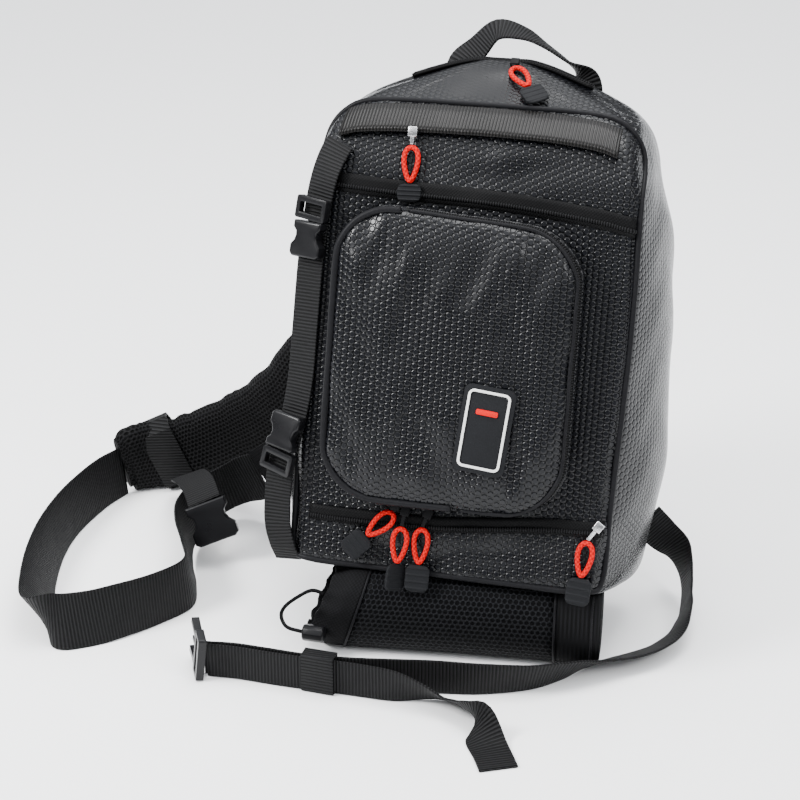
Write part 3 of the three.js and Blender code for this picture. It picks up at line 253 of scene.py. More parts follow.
def through(points: np.ndarray, times: int, closed: bool = False) -> np.ndarray:
    """Runs a smooth line through points.

    Args:
        points: the points, along the first axis.
        times: how many steps each span gets.
        closed: whether the line runs back to its start.

    Returns:
        The points of the line.
    """
    count = len(points)
    if closed:
        held = np.concatenate([points[-1:], points, points[:2]])
    else:
        held = np.concatenate(
            [[2 * points[0] - points[1]], points, [2 * points[-1] - points[-2]]]
        )
    line = []
    for i in range(count if closed else count - 1):
        a, b, c, d = held[i : i + 4]
        for k in range(times):
            t = k / times
            line.append(
                0.5 * (
                    2 * b
                    + (c - a) * t
                    + (2 * a - 5 * b + 4 * c - d) * t * t
                    + (3 * b - a - 3 * c + d) * t**3
                )
            )
    if not closed:
        line.append(points[-1])
    return np.array(line)


def surface(name: str, rings: np.ndarray, along: bool = False) -> bpy.types.Object:
    """Makes a smooth mesh through rings of points, with its UVs in metres.

    Args:
        name: of the object.
        rings: array of rings, points and coordinates.
        along: whether the last ring joins the first, or else the two end rings are filled.

    Returns:
        The new object, linked to the scene.
    """
    n, m = rings.shape[:2]
    faces, corners = [], []
    for i in range(n if along else n - 1):
        for j in range(m):
            k, h = (j + 1) % m, (i + 1) % n
            faces.append((i * m + j, i * m + k, h * m + k, h * m + j))
            corners += [(i, j), (i, j + 1), (i + 1, j + 1), (i + 1, j)]
    flat = rings.reshape(-1, 3)
    turned = np.concatenate([rings, rings[:, :1]], axis=1)
    u = np.concatenate([[0], np.linalg.norm(np.diff(turned[n // 2], axis=0), axis=1).cumsum()])
    steps = np.linalg.norm(np.diff(np.concatenate([rings, rings[:1]]), axis=0), axis=2).mean(1)
    v = np.concatenate([[0], steps.cumsum()])
    places = [(u[j], v[i]) for i, j in corners]
    if not along:
        for first in (0, (n - 1) * m):
            ring = list(range(first, first + m))
            faces.append(tuple(ring[::-1] if first == 0 else ring))
            middle = flat[ring].mean(0)
            places += [(flat[k][0] - middle[0], flat[k][1] - middle[1]) for k in faces[-1]]
    data = bpy.data.meshes.new(name)
    data.from_pydata([tuple(p) for p in flat], [], faces)
    layer = data.uv_layers.new(name="weave")
    layer.data.foreach_set("uv", np.array(places, np.float32).ravel())
    data.shade_smooth()
    obj = placed(name, data)
    mend_normals(obj)
    return obj


def placed(name: str, data: bpy.types.ID) -> bpy.types.Object:
    """Adds an object to the scene.

    Args:
        name: of the object.
        data: its mesh, light or camera.

    Returns:
        The new object.
    """
    obj = bpy.data.objects.new(name, data)
    bpy.context.scene.collection.objects.link(obj)
    return obj


def mend_normals(obj: bpy.types.Object) -> None:
    """Turns the faces of a closed mesh outwards.

    Args:
        obj: with the mesh.
    """
    volume = 0.0
    verts = obj.data.vertices
    for face in obj.data.polygons:
        a = verts[face.vertices[0]].co
        for b, c in zip(face.vertices[1:-1], face.vertices[2:]):
            volume += a.dot(verts[b].co.cross(verts[c].co))
    if volume < 0:
        obj.data.flip_normals()


def frames(points: np.ndarray, closed: bool) -> list[tuple[Vector, Vector]]:
    """Gives two directions across a line at each of its points, without twisting.

    Args:
        points: of the line.
        closed: whether it runs back to its start.

    Returns:
        The two directions at each point.
    """
    made = []
    side = None
    count = len(points)
    for i in range(count):
        before = points[i - 1] if closed or i else points[0]
        after = points[(i + 1) % count] if closed or i < count - 1 else points[-1]
        run = Vector(after - before).normalized()
        if side is None:
            side = run.orthogonal()
        side = (side - run * side.dot(run)).normalized()
        made.append((side.copy(), run.cross(side)))
    return made


def tube(
    name: str, points: list[Vector], radius: float, times: int = 4, sides: int = 12,
    closed: bool = False,
) -> bpy.types.Object:
    """Makes a round line of one radius through points.

    Args:
        name: of the object.
        points: that the line runs through.
        radius: of the line.
        times: how many steps each span gets.
        sides: how many points go round it.
        closed: whether it runs back to its start.

    Returns:
        The new object.
    """
    line = through(np.array([tuple(p) for p in points]), times, closed)
    rings = []
    for at, (a, b) in zip(line, frames(line, closed)):
        turns = [2 * math.pi * j / sides for j in range(sides)]
        rings.append(
            [tuple(Vector(at) + radius * (math.cos(t) * a + math.sin(t) * b)) for t in turns]
        )
    return surface(name, np.array(rings), along=closed)


FLAT = [
    (-1, -0.4), (-0.98, -0.85), (-0.93, -1), (-0.5, -1.08), (0, -1), (0.5, -1.08), (0.93, -1),
    (0.98, -0.85),
]
FLAT += [(-a, -b) for a, b in FLAT]
PILLOW = [(-1, -0.35), (-0.72, -0.95), (0, -1), (0.72, -0.95), (1, -0.35)]
PILLOW += [(-a, -b) for a, b in PILLOW]


@dataclass
class Strap:
    """Webbing or padding along stations.

    Args:
        name: of the piece.
        stations: place, direction of the width, and the width and depth as shares, at each.
        width: of the webbing.
        thick: of the webbing.
        profile: points round its section, as shares of half the width and thickness.
        floor: whether it is lifted to stay above the floor.
        times: how many rings each span gets.
    """

    name: str
    stations: list[tuple[Vector, Vector, float, float]]
    width: float
    thick: float
    profile: list[tuple[float, float]] = field(default_factory=lambda: FLAT)
    floor: bool = True
    times: int = 6

    def rings(self) -> np.ndarray:
        """Gives the rings of points round the strap.

        Returns:
            Array of rings, points and coordinates.
        """
        middle = through(np.array([tuple(s[0]) for s in self.stations]), self.times)
        edges = through(
            np.array([tuple(s[0] + s[1].normalized() * self.width) for s in self.stations]),
            self.times,
        )
        share = through(np.array([(s[2], s[3]) for s in self.stations], float), self.times)
        runs = np.gradient(middle, axis=0)
        made = []
        for at, edge, (wide, deep), run in zip(middle, edges, share, runs):
            along = Vector(run).normalized()
            across = Vector(edge - at)
            across = (across - along * across.dot(along)).normalized()
            out = along.cross(across)
            across *= self.width * wide / 2
            out *= self.thick * deep / 2
            ring = [Vector(at) + across * w + out * t for w, t in self.profile]
            lift = max(0.0, -min(p.z for p in ring)) if self.floor else 0.0
            made.append([(p.x, p.y, p.z + lift) for p in ring])
        return np.array(made)

    def build(self) -> bpy.types.Object:
        """Makes the strap's object."""
        return surface(self.name, self.rings())


def routed(table: list[tuple], width: float) -> list[tuple[Vector, Vector, float, float]]:
    """Reads a route's table: shares of the bag's width, heights as shares of the webbing's.

    Args:
        table: rows of place, direction and, where given, width and depth.
        width: of the webbing.

    Returns:
        The stations along the route.
    """
    made = []
    for row in table:
        at = Vector((row[0] * BODY_W, row[1] * BODY_W, row[2] * width))
        made.append((at, Vector(row[3:6]), *(row[6:8] if len(row) > 6 else (1, 1))))
    return made


SHARP = 38  # degrees between faces that keep a hard edge


def refined(node: str, bevel: float = 0.0004) -> bpy.types.Object:
    """Makes a copy of a moulded CAD piece with its edges rounded.

    Args:
        node: name of the CAD piece.
        bevel: radius of the rounding.

    Returns:
        The new object.
    """
    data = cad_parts[node].data.copy()
    data.materials.clear()
    obj = placed(node + "_moulded", data)
    bpy.context.view_layer.objects.active = obj
    weld = {"merge_threshold": 1e-5}
    edge = {"width": bevel, "segments": 2, "limit_method": "ANGLE"}
    for kind, values in (("WELD", weld), ("BEVEL", edge)):
        modifier = obj.modifiers.new(kind.title(), kind)
        for key, value in values.items():
            setattr(modifier, key, value)
        bpy.ops.object.modifier_apply(modifier=modifier.name)
    obj.data.shade_smooth()
    obj.data.set_sharp_from_angle(angle=math.radians(SHARP))
    return obj


def dressed(
    obj: bpy.types.Object, finish: "Finish", nodes: tuple[str, ...] = ()
) -> bpy.types.Object:
    """Gives a piece its finish, hides the CAD pieces it stands for, and lets it ride.

    Args:
        obj: the piece, in its place.
        finish: that it gets.
        nodes: names of the CAD pieces that it stands for.

    Returns:
        The same object.
    """
    obj.data.materials.clear()
    obj.data.materials.append(finish.material())
    if nodes:
        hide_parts(*nodes)
    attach(obj, "root")
    LOG.info("%s: %d faces, %s", obj.name, len(obj.data.polygons), finish.name)
    return obj



def settled(made: list[tuple[bpy.types.Object, "Finish", tuple[str, ...]]]) -> None:
    """Leans pieces with the bag and dresses them.

    Args:
        made: each piece, its finish and the CAD pieces that it stands for.
    """
    for obj, finish, nodes in made:
        obj.data.transform(BAG)
        dressed(obj, finish, nodes)


# Finishes


class Slot(Enum):
    """The record's material slots."""

    FABRIC = "coated_fabric"
    WEBBING = "webbing"
    TAPE = "tape"
    CLOTH = "plain_cloth"
    MESH = "mesh"
    PLASTIC = "plastic"
    RUBBER = "rubber"
    CORD = "red_cord"
    PRINT = "white_print"
    METAL = "metal"


class Weave(Enum):
    """What a finish's surface is pressed or woven into."""

    CELLS = "cells"
    RIBS = "ribs"
    BRAID = "braid"
    GRAIN = "grain"


class Board:
    """Short ways to place and join a node tree's nodes."""

    def __init__(self, tree: bpy.types.NodeTree) -> None:
        """Holds the tree."""
        self.tree = tree

    def put(self, kind: str, **values: object) -> bpy.types.Node:
        """Adds a node and sets its properties.

        Args:
            kind: of node.
            values: properties to set.

        Returns:
            The new node.
        """
        node = self.tree.nodes.new(kind)
        for key, value in values.items():
            setattr(node, key, value)
        return node

    def wire(self, value: object, socket: bpy.types.NodeSocket) -> None:
        """Joins an output to a socket, or sets the socket's own value.

        Args:
            value: an output or a number.
            socket: that it goes into.
        """
        if isinstance(value, bpy.types.NodeSocket):
            self.tree.links.new(value, socket)
        else:
            socket.default_value = value

    def math(self, operation: str, *values: object) -> bpy.types.NodeSocket:
        """Adds a math node and returns its output.

        Args:
            operation: name of the sum.
            values: outputs or numbers that go in.

        Returns:
            The output.
        """
        node = self.put("ShaderNodeMath", operation=operation)
        for value, socket in zip(values, node.inputs):
            self.wire(value, socket)
        return node.outputs[0]


def group(name: str, inputs: tuple[str, ...]) -> tuple[
    Board, dict[str, bpy.types.NodeSocket], bpy.types.Node
]:
    """Starts a node group with a vector, some numbers and one output called Height.

    Args:
        name: of the group.
        inputs: names of its number inputs.

    Returns:
        The board, its inputs by name, and the output node.
    """
    tree = bpy.data.node_groups.new(name, "ShaderNodeTree")
    tree.interface.new_socket("Vector", in_out="INPUT", socket_type="NodeSocketVector")
    for each in inputs:
        tree.interface.new_socket(each, in_out="INPUT", socket_type="NodeSocketFloat")
    tree.interface.new_socket("Height", in_out="OUTPUT", socket_type="NodeSocketFloat")
    board = Board(tree)
    start = board.put("NodeGroupInput")
    return board, {s.name: s for s in start.outputs}, board.put("NodeGroupOutput")


def wave_group(name: str, directions: tuple[tuple[float, float], ...]) -> bpy.types.NodeTree:
    """Makes a group that sums waves: three directions give cells, one ribs, two a braid.

    Args:
        name: of the group.
        directions: of the waves.

    Returns:
        The node group.
    """
    board, given, end = group(name, ("Pitch", "Edge"))
    parts = board.put("ShaderNodeSeparateXYZ")
    board.wire(given["Vector"], parts.inputs[0])
    total: object = 0.0
    for x, y in directions:
        run = board.math(
            "ADD", board.math("MULTIPLY", parts.outputs[0], x),
            board.math("MULTIPLY", parts.outputs[1], y),
        )
        turn = board.math("MULTIPLY", board.math("DIVIDE", run, given["Pitch"]), 2 * math.pi)
        total = board.math("ADD", total, board.math("COSINE", turn))
    most = float(len(directions))
    low, high = (-most / 2, most) if most == 3 else (-most, most)
    share = board.math("DIVIDE", board.math("SUBTRACT", total, low), high - low)
    keen = board.put("ShaderNodeMapRange", interpolation_type="SMOOTHSTEP")
    board.wire(share, keen.inputs[0])
    keen.inputs[1].default_value = 0.0
    board.wire(given["Edge"], keen.inputs[2])
    board.wire(keen.outputs[0], end.inputs[0])
    return board.tree


def grain_group() -> bpy.types.NodeTree:
    """Makes the group of fine wear and unevenness that every finish uses.

    Returns:
        The node group.
    """
    board, given, end = group("grain", ("Size",))
    noise = board.put("ShaderNodeTexNoise")
    board.wire(given["Vector"], noise.inputs["Vector"])
    board.wire(board.math("DIVIDE", 1.0, given["Size"]), noise.inputs["Scale"])
    noise.inputs["Detail"].default_value = 4
    board.wire(noise.outputs[0], end.inputs[0])
    return board.tree


ROOT3 = 3**0.5
GRAIN_SIZE = 0.012
GRAIN_SPREAD = 0.16  # of the roughness, from its least to its most
BUMP_STRENGTH = 0.9
GROUPS: dict[Weave, bpy.types.NodeTree] = {
    Weave.CELLS: wave_group("cells", ((2 / ROOT3, 0), (1 / ROOT3, 1), (-1 / ROOT3, 1))),
    Weave.RIBS: wave_group("ribs", ((0, 1),)),
    Weave.BRAID: wave_group("braid", ((0.5, 0.5), (-0.5, 0.5))),
    Weave.GRAIN: grain_group(),
}


@dataclass(frozen=True)
class Finish:
    """One material of the bag.

    Args:
        name: of the material.
        slot: the record's slot that it belongs to; not used.
        high: colour where the pattern peaks: on raised places, and on the net and the air mesh,
            whose bump sinks, the nearly black painted shade in their holes.
        low: colour where the pattern dips, darker than high as painted shade in the grooves, rib
            valleys and braid dips; on the net and the air mesh, the strands' own colour.
        rough: roughness.
        weave: the pattern.
        pitch: of the pattern, in metres.
        depth: height of the pattern, in metres.
        edge: where the pattern's rise ends, from 0 to 1.
        metallic: 1 for metal.
        gloss: specular level.
    """

    name: str
    slot: Slot
    high: tuple[float, float, float]
    low: tuple[float, float, float]
    rough: float
    weave: Weave = Weave.GRAIN
    pitch: float = 0.001
    depth: float = 0.0002
    edge: float = 0.5
    metallic: float = 0.0
    gloss: float = 0.06

    def material(self) -> bpy.types.Material:
        """Gives the material, made once.

        Returns:
            The material, the same one at each call.
        """
        if self.name in bpy.data.materials:
            return bpy.data.materials[self.name]
        made = bpy.data.materials.new(self.name)
        made.use_nodes = True
        board = Board(made.node_tree)
        shader = made.node_tree.nodes["Principled BSDF"]
        place = board.put("ShaderNodeTexCoord")
        grain = board.put("ShaderNodeGroup", node_tree=GROUPS[Weave.GRAIN])
        board.wire(place.outputs["Object"], grain.inputs["Vector"])
        grain.inputs["Size"].default_value = GRAIN_SIZE
        pattern = board.put("ShaderNodeGroup", node_tree=GROUPS[self.weave])
        board.wire(
            place.outputs["Object" if self.weave is Weave.GRAIN else "UV"],
            pattern.inputs["Vector"],
        )
        pattern.inputs[1].default_value = self.pitch
        if self.weave is not Weave.GRAIN:
            pattern.inputs["Edge"].default_value = self.edge
        # Painted shade: the pattern mixes the darker colour into its hollows, and on the net and
        # the air mesh into their holes.
        painted_shade_mix = board.put("ShaderNodeMix", data_type="RGBA")
        board.wire(pattern.outputs[0], painted_shade_mix.inputs[0])
        painted_shade_mix.inputs[6].default_value = (*self.low, 1)
        painted_shade_mix.inputs[7].default_value = (*self.high, 1)
        board.wire(painted_shade_mix.outputs[2], shader.inputs["Base Color"])
        least = self.rough - GRAIN_SPREAD / 2
        rough = board.math("MULTIPLY_ADD", grain.outputs[0], GRAIN_SPREAD, least)
        board.wire(rough, shader.inputs["Roughness"])
        bump = board.put("ShaderNodeBump")
        bump.inputs["Strength"].default_value = BUMP_STRENGTH
        bump.inputs["Distance"].default_value = self.depth
        board.wire(pattern.outputs[0], bump.inputs["Height"])
        board.wire(bump.outputs[0], shader.inputs["Normal"])
        shader.inputs["Metallic"].default_value = self.metallic
        shader.inputs["Specular IOR Level"].default_value = self.gloss
        return made


# In the finishes with cells, ribs or a braid, the low colour is painted shade in the pattern's
# grooves, valleys and dips; the high colour is the material's own.
HONEYCOMB = Finish(
    "honeycomb fabric", Slot.FABRIC, (0.0045, 0.0048, 0.0062), (0.0006, 0.0007, 0.001), 0.24,
    Weave.CELLS, 0.0046, 0.0004, 0.42, gloss=0.22,
)
FLAP_CLOTH = Finish(
    "ribbed flap", Slot.FABRIC, (0.012, 0.011, 0.0105), (0.0025, 0.0025, 0.0025), 0.26,
    Weave.RIBS, 0.0022, 0.0003, 1.0, gloss=0.14,
)
WEBBING = Finish(
    "ribbed strap webbing", Slot.WEBBING, (0.010, 0.010, 0.0108), (0.001, 0.001, 0.001), 0.6,
    Weave.RIBS, 0.0023, 0.0006, 1.0, gloss=0.12,
)
TAPE = Finish(
    "zip tape", Slot.TAPE, (0.006, 0.006, 0.0065), (0.002, 0.002, 0.002), 0.52, Weave.BRAID,
    0.0011, 0.00015, 1.0,
)
PIPING = Finish(
    "piping", Slot.TAPE, (0.011, 0.011, 0.0125), (0.006, 0.006, 0.0065), 0.42, Weave.GRAIN, 0.002,
    0.0002,
)
PLAIN = Finish(
    "plain cloth", Slot.CLOTH, (0.0075, 0.0075, 0.0085), (0.003, 0.003, 0.003), 0.74, Weave.BRAID,
    0.0014, 0.0002, 1.0,
)
# Painted shade: the air mesh and the net are opaque, and their sunk holes get the nearly black
# high colour where a real mesh shows shade through.
AIR_MESH = Finish(
    "air mesh", Slot.MESH, (0.0005, 0.0005, 0.0005), (0.009, 0.009, 0.0095), 0.7, Weave.CELLS,
    0.0036, -0.0014, 0.75,
)
NET = Finish(
    "net", Slot.MESH, (0.0005, 0.0005, 0.0008), (0.010, 0.0105, 0.012), 0.6, Weave.CELLS, 0.0038,
    -0.0011, 0.45,
)
PLASTIC = Finish(
    "moulded plastic", Slot.PLASTIC, (0.006, 0.006, 0.007), (0.004, 0.004, 0.0045), 0.3,
    Weave.GRAIN, 0.0015, 0.00005, gloss=0.2,
)
RUBBER = Finish(
    "soft dark rubber", Slot.RUBBER, (0.012, 0.0125, 0.014), (0.008, 0.0082, 0.009), 0.52,
    Weave.GRAIN, 0.001, 0.0001,
)
RED = Finish(
    "red braided cord", Slot.CORD, (0.62, 0.006, 0.006), (0.3, 0.002, 0.002), 0.6, Weave.BRAID,
    0.0016, 0.0004, 1.0,
)
RED_BAR = Finish("red bar", Slot.CORD, (0.6, 0.006, 0.006), (0.5, 0.004, 0.004), 0.5, Weave.GRAIN)
WHITE = Finish("white print", Slot.PRINT, (0.8, 0.8, 0.78), (0.68, 0.68, 0.66), 0.5, Weave.GRAIN)
METAL = Finish(
    "bright metal", Slot.METAL, (0.6, 0.6, 0.61), (0.45, 0.45, 0.46), 0.25, Weave.GRAIN,
    metallic=1.0, gloss=0.5,
)
FLOOR = Finish(
    "pale floor", Slot.PRINT, (0.97, 0.97, 0.97), (0.96, 0.96, 0.96), 0.9, Weave.GRAIN, 0.05, 0.0
)

# The coil's low colour is painted shade between its teeth.
COIL = Finish(
    "zip coil", Slot.TAPE, (0.012, 0.012, 0.013), (0.0006, 0.0006, 0.0006), 0.4, Weave.RIBS,
    0.0017, 0.0007, 1.0,
)


# Shared forms


class Target:
    """A form's surface, met by straight lines from the front or from above."""

    def __init__(self, obj: bpy.types.Object) -> None:
        """Keeps a search tree of the form's faces, in the bag's frame."""
        faces = [tuple(p.vertices) for p in obj.data.polygons]
        self.tree = BVHTree.FromPolygons([v.co.copy() for v in obj.data.vertices], faces)

    def front(self, x: float, z: float, out: float = 0.0) -> Vector:
        """Gives the front surface's point over x and z, moved out of it.

        Args:
            x: across the bag.
            z: up the bag.
            out: how far off the surface.

        Returns:
            The point, in the bag's frame.
        """
        hit = self.tree.ray_cast(Vector((x, -BODY_H, z)), Vector((0, 1, 0)))[0]
        return Vector((x, (hit.y if hit else BODY_D / 2) - out, z))

    def top(self, x: float, y: float, out: float = 0.0) -> Vector:
        """Gives the top surface's point over x and y, moved up from it.

        Args:
            x: across the bag.
            y: into the bag.
            out: how far off the surface.

        Returns:
            The point, in the bag's frame.
        """
        hit = self.tree.ray_cast(Vector((x, y, 2 * BODY_H)), Vector((0, 0, -1)))[0]
        return Vector((x, y, (hit.z if hit else BODY_H) + out))


def crinkle(at: Vector, size: float, amount: float) -> float:
    """Gives a soft, fixed unevenness at a place, as a height.

    Args:
        at: the place.
        size: of the folds.
        amount: their height.

    Returns:
        The height at that place.
    """
    x, y, z = at / size
    wave = math.sin(x * 2.1 + 1.3 * math.sin(z * 1.7 + y)) + math.sin(
        z * 2.6 + 1.9 * math.sin(x * 1.3 - y * 0.7)
    )
    return amount * (wave + 0.6 * math.sin(x * 4.3 - z * 3.7 + 2 * math.sin(y * 2 + x))) / 2.6


def reweave(obj: bpy.types.Object, front_only: bool) -> None:
    """Lays the weave flat over a form, so that its cells keep one size.

    Args:
        obj: the form, still in the bag's frame.
        front_only: whether only faces that look forwards change.
    """
    layer = obj.data.uv_layers["weave"].data
    for face in obj.data.polygons:
        n = face.normal
        for k in face.loop_indices:
            at = obj.data.vertices[obj.data.loops[k].vertex_index].co
            if front_only and abs(n.y) > 0.5:
                layer[k].uv = (at.x, at.z)
            elif not front_only:
                layer[k].uv = (at.x if abs(n.x) < 0.7 else at.y, layer[k].uv[1])


def boxed(obj: bpy.types.Object) -> bpy.types.Object:
    """Gives a moulded copy a weave laid flat from the side that each face looks to.

    Args:
        obj: the moulded copy.

    Returns:
        The same object.
    """
    layer = (obj.data.uv_layers.get("weave") or obj.data.uv_layers.new(name="weave")).data
    for face in obj.data.polygons:
        n = face.normal
        flat = max(range(3), key=lambda i: abs(n[i]))
        for k in face.loop_indices:
            at = obj.data.vertices[obj.data.loops[k].vertex_index].co
            layer[k].uv = [(at.y, at.z), (at.x, at.z), (at.x, at.y)][flat]
    return obj


# Pieces


@dataclass
class Body:
    """The hollow padded bag with its piping, flap, zips and handle."""

    piping: float = 0.002
    dents: tuple[tuple[float, ...], ...] = (
        (0.79, 0.24, 0.006, 0.05, -32, 0.0035),
        (0.9, 0.3, 0.012, 0.03, -20, 0.002),
        (-0.8, 0.2, 0.008, 0.04, 10, 0.003),
        (-0.78, 0.5, 0.01, 0.06, 3, 0.002),
        (0.84, 0.55, 0.008, 0.06, 4, 0.002),
        (-0.3, 0.8, 0.03, 0.012, 20, 0.003),
        (0.35, 0.79, 0.05, 0.01, -12, 0.003),
        (0.0, 0.82, 0.02, 0.014, 40, 0.002),
        (0.3, 0.055, 0.05, 0.006, -4, 0.002),
        (-0.4, 0.05, 0.04, 0.006, 8, 0.002),
    )

    def ring(self, section: tuple) -> list[tuple[float, float, float]]:
        """Gives the points round the body at a section.

        Args:
            section: a row of the sections.

        Returns:
            The points, in the bag's frame.
        """
        up, wide, bulge, front, back, corner = section
        half = []
        for across, puff, inset, turn, depth in BODY_OUTLINE:
            x = across * wide * BODY_W / 2 + puff * bulge * SIDE_BULGE - inset * corner * CORNER
            y = front * BODY_D + depth * (back - front) * BODY_D + turn * corner * CORNER
            half.append((x, y, up * BODY_H))
        return half + [(-x, y, z) for x, y, z in half[1:-1][::-1]]

    def form(self) -> bpy.types.Object:
        """Makes the padded shell with its dents.

        Returns:
            The new object.
        """
        rings = through(np.array([self.ring(s) for s in BODY_SECTIONS]), 7)
        rings = through(rings.transpose(1, 0, 2), 6, True).transpose(1, 0, 2)
        for ring in rings:
            middle = ring.mean(0)
            for p in ring:
                at = Vector(p)
                away = Vector((at.x - middle[0], at.y - middle[1], 0)).normalized()
                push = crinkle(at, 0.03, 0.0011) - 0.0004
                if p[1] < 0.4 * BODY_D:
                    for across, up, wide, high, turn, deep in self.dents:
                        dx, dz = at.x - across * BODY_W / 2, at.z - up * BODY_H
                        c, s = math.cos(math.radians(turn)), math.sin(math.radians(turn))
                        a, b = (dx * c - dz * s) / wide, (dx * s + dz * c) / high
                        push -= deep * math.exp(-a * a - b * b)
                p += np.array(away * push)
        obj = surface("body", rings)
        reweave(obj, False)
        return obj

    def band(
        self, name: str, on: Target, line: list[tuple[float, float]], width: float, thick: float,
        lift: float = 0.0,
    ) -> bpy.types.Object:
        """Makes a flat band along a line on the front.

        Args:
            name: of the object.
            on: surface that carries it.
            line: its middle line, as shares of the bag.
            width: of the band.
            thick: of the band.
            lift: how far its lower edge stands off.

        Returns:
            The new object.
        """
        rings = []
        for across, up in through(np.array(line), 6):
            ring = []
            for s in (1, 0.96, 0.5, 0, -0.5, -0.96, -1):
                at = on.front(across * BODY_W / 2, up * BODY_H + s * width / 2)
                share = 0.35 if abs(s) == 1 else 1
                ring.append((at.x, at.y - thick * share - lift * (0.5 - s / 2) ** 1.5, at.z))
            for s in (-1, 1):
                at = on.front(across * BODY_W / 2, up * BODY_H + s * width / 2)
                ring.append((at.x, at.y + 0.001, at.z))
            rings.append(ring)
        return surface(name, np.array(rings))

    def build(self) -> Target:
        """Makes and dresses the pieces, and returns the body's surface."""
        body = self.form()
        on = Target(body)
        seam = FRONT_SEAM + [(-a, u) for a, u in FRONT_SEAM[:0:-1]]
        points = [on.front(a * BODY_W / 2, u * BODY_H) for a, u in seam]
        piping = tube("front_piping_line", points, self.piping, 5, 10, True)
        flap = self.band("flap", on, FLAP_LINE, 0.019, 0.0022, 0.003)
        made = [
            (body, HONEYCOMB, ("body_shell",)),
            (piping, PIPING, ("front_piping",)),
            (flap, FLAP_CLOTH, ("top_flap",)),
        ]
        for name, line, width in (
            ("top_zip", TOP_BAND_LINE, 0.0125), ("bottom_zip", BOTTOM_BAND_LINE, 0.0105)
        ):
            made.append((self.band(name + "_tape", on, line, width, 0.0015), TAPE, (name,)))
            low = 0.0022 / BODY_H
            coil = [on.front(a * BODY_W / 2, (u - low) * BODY_H, 0.0014) for a, u in line]
            made.append((tube(name + "_coil", coil, 0.0016, 6, 10), COIL, ()))
        slit = [on.top(x, 0.66 * BODY_D, -0.0004) for x in np.linspace(-0.062, 0.062, 15)]
        tape = Strap(
            "main_zip_tape", [(p, Vector((0, 1, 0)), 1, 1) for p in slit], 0.0145, 0.0022,
            floor=False, times=2,
        )
        made.append((tape.build(), TAPE, ("main_zip",)))
        coil = [p + Vector((0, 0, 0.0012)) for p in slit]
        made.append((tube("main_zip_coil", coil, 0.0013, 3, 8), COIL, ()))
        places = []
        for a, y, u, *across in HANDLE:
            at = Vector((a * BODY_W / 2, y * BODY_D, u * BODY_H))
            places.append((at, Vector(across), 1, 1))
        handle = Strap("grab_handle", places, 0.023, 0.002, floor=False)
        made.append((handle.build(), WEBBING, ("handle",)))
        settled(made)
        return on


@dataclass
class Pocket:
    """The raised front pocket with its piping and zip."""

    at_x: float = -0.019 * BODY_W
    at_z: float = 0.428 * BODY_H
    piped: tuple[float, float] = (0.49, 0.95)

    def outline(self, inset: float) -> np.ndarray:
        """Gives the points round the pocket, moved in by an inset.

        Args:
            inset: how far inwards.

        Returns:
            Array of points across and up the bag.
        """
        corner = max(POCKET_CORNER - inset * 0.6, 0.008)
        x, z = POCKET_W / 2 - inset, POCKET_H / 2 - inset
        points = []
        for quarter in range(4):
            sx = 1 if quarter < 2 else -1
            sz = 1 if quarter % 3 else -1
            for i in range(5):
                turn = (quarter - 1 + i / 4) * math.pi / 2
                c, s = corner * math.cos(turn), corner * math.sin(turn)
                points.append((sx * (x - corner) + c, sz * (z - corner) + s))
            points.append((0, sz * z) if quarter % 2 else (sx * x, 0))
        made = []
        for px, pz in points:
            drop = POCKET_DROP * (px / POCKET_W + 0.5) * max(pz / POCKET_H + 0.2, 0)
            made.append((self.at_x + px, self.at_z + pz - drop))
        return np.array(made)

    def form(self) -> bpy.types.Object:
        """Makes the pocket's bulged form.

        Returns:
            The new object.
        """
        rings = []
        for out, inset in POCKET_LAYERS:
            line = self.outline(inset * POCKET_CORNER)
            rings.append([(x, -out * POCKET_DEPTH, z) for x, z in line])
        rings = through(np.array(rings), 6)
        rings = through(rings.transpose(1, 0, 2), 5, True).transpose(1, 0, 2)
        for ring in rings:
            for p in ring:
                if p[1] < -0.55 * POCKET_DEPTH:
                    share = min(1, (-p[1] / POCKET_DEPTH - 0.55) / 0.3)
                    at = Vector((p[0] * 1.4, p[1], p[2] * 0.55))
                    p[1] += share * (crinkle(at, 0.016, 0.0021) + 0.0006)
        obj = surface("pocket", rings)
        reweave(obj, True)
        return obj

    def edge(
        self, start: float, end: float, count: int, y: float, inset: float = 0.0
    ) -> list[Vector]:
        """Gives points along a stretch of the outline.

        Args:
            start: share of the way round, from the middle of the bottom.
            end: share where the stretch stops.
            count: how many steps.
            y: depth of the line.
            inset: how far inwards.

        Returns:
            The points of the line.
        """
        line = through(self.outline(inset), 8, True)
        line = np.concatenate([line, line[:1]])
        way = np.concatenate([[0], np.linalg.norm(np.diff(line, axis=0), axis=1).cumsum()])
        points = []
        for i in range(count + 1):
            share = (start + (end - start) * i / count) % 1 * way[-1]
            points.append(
                Vector((np.interp(share, way, line[:, 0]), y, np.interp(share, way, line[:, 1])))
            )
        return points

    def build(self) -> Target:
        """Makes and dresses the pieces, and returns the pocket's surface."""
        form = self.form()
        on = Target(form)
        made = [(form, HONEYCOMB, ("front_pocket",))]
        piped = self.edge(*self.piped, 40, -0.72 * POCKET_DEPTH)
        made.append((tube("pocket_piping_line", piped, 0.0023, 3), PIPING, ("pocket_piping",)))
        for name, y, radius, finish, nodes in (
            ("pocket_zip_coil", -0.42, 0.0019, COIL, ("pocket_zip",)),
            ("pocket_zip_tape", -0.66, 0.0013, PIPING, ()),
            ("pocket_foot_seam", -0.16, 0.0012, PIPING, ()),
        ):
            line = self.edge(
                self.piped[1] - 0.99, self.piped[0] - 0.01, 60, y * POCKET_DEPTH, -0.0006
            )
            for i, p in enumerate(line):
                p.y += 0.0006 * math.sin(i * 0.9)
            made.append((tube(name, line, radius, 3), finish, nodes))
        settled(made)
        return on


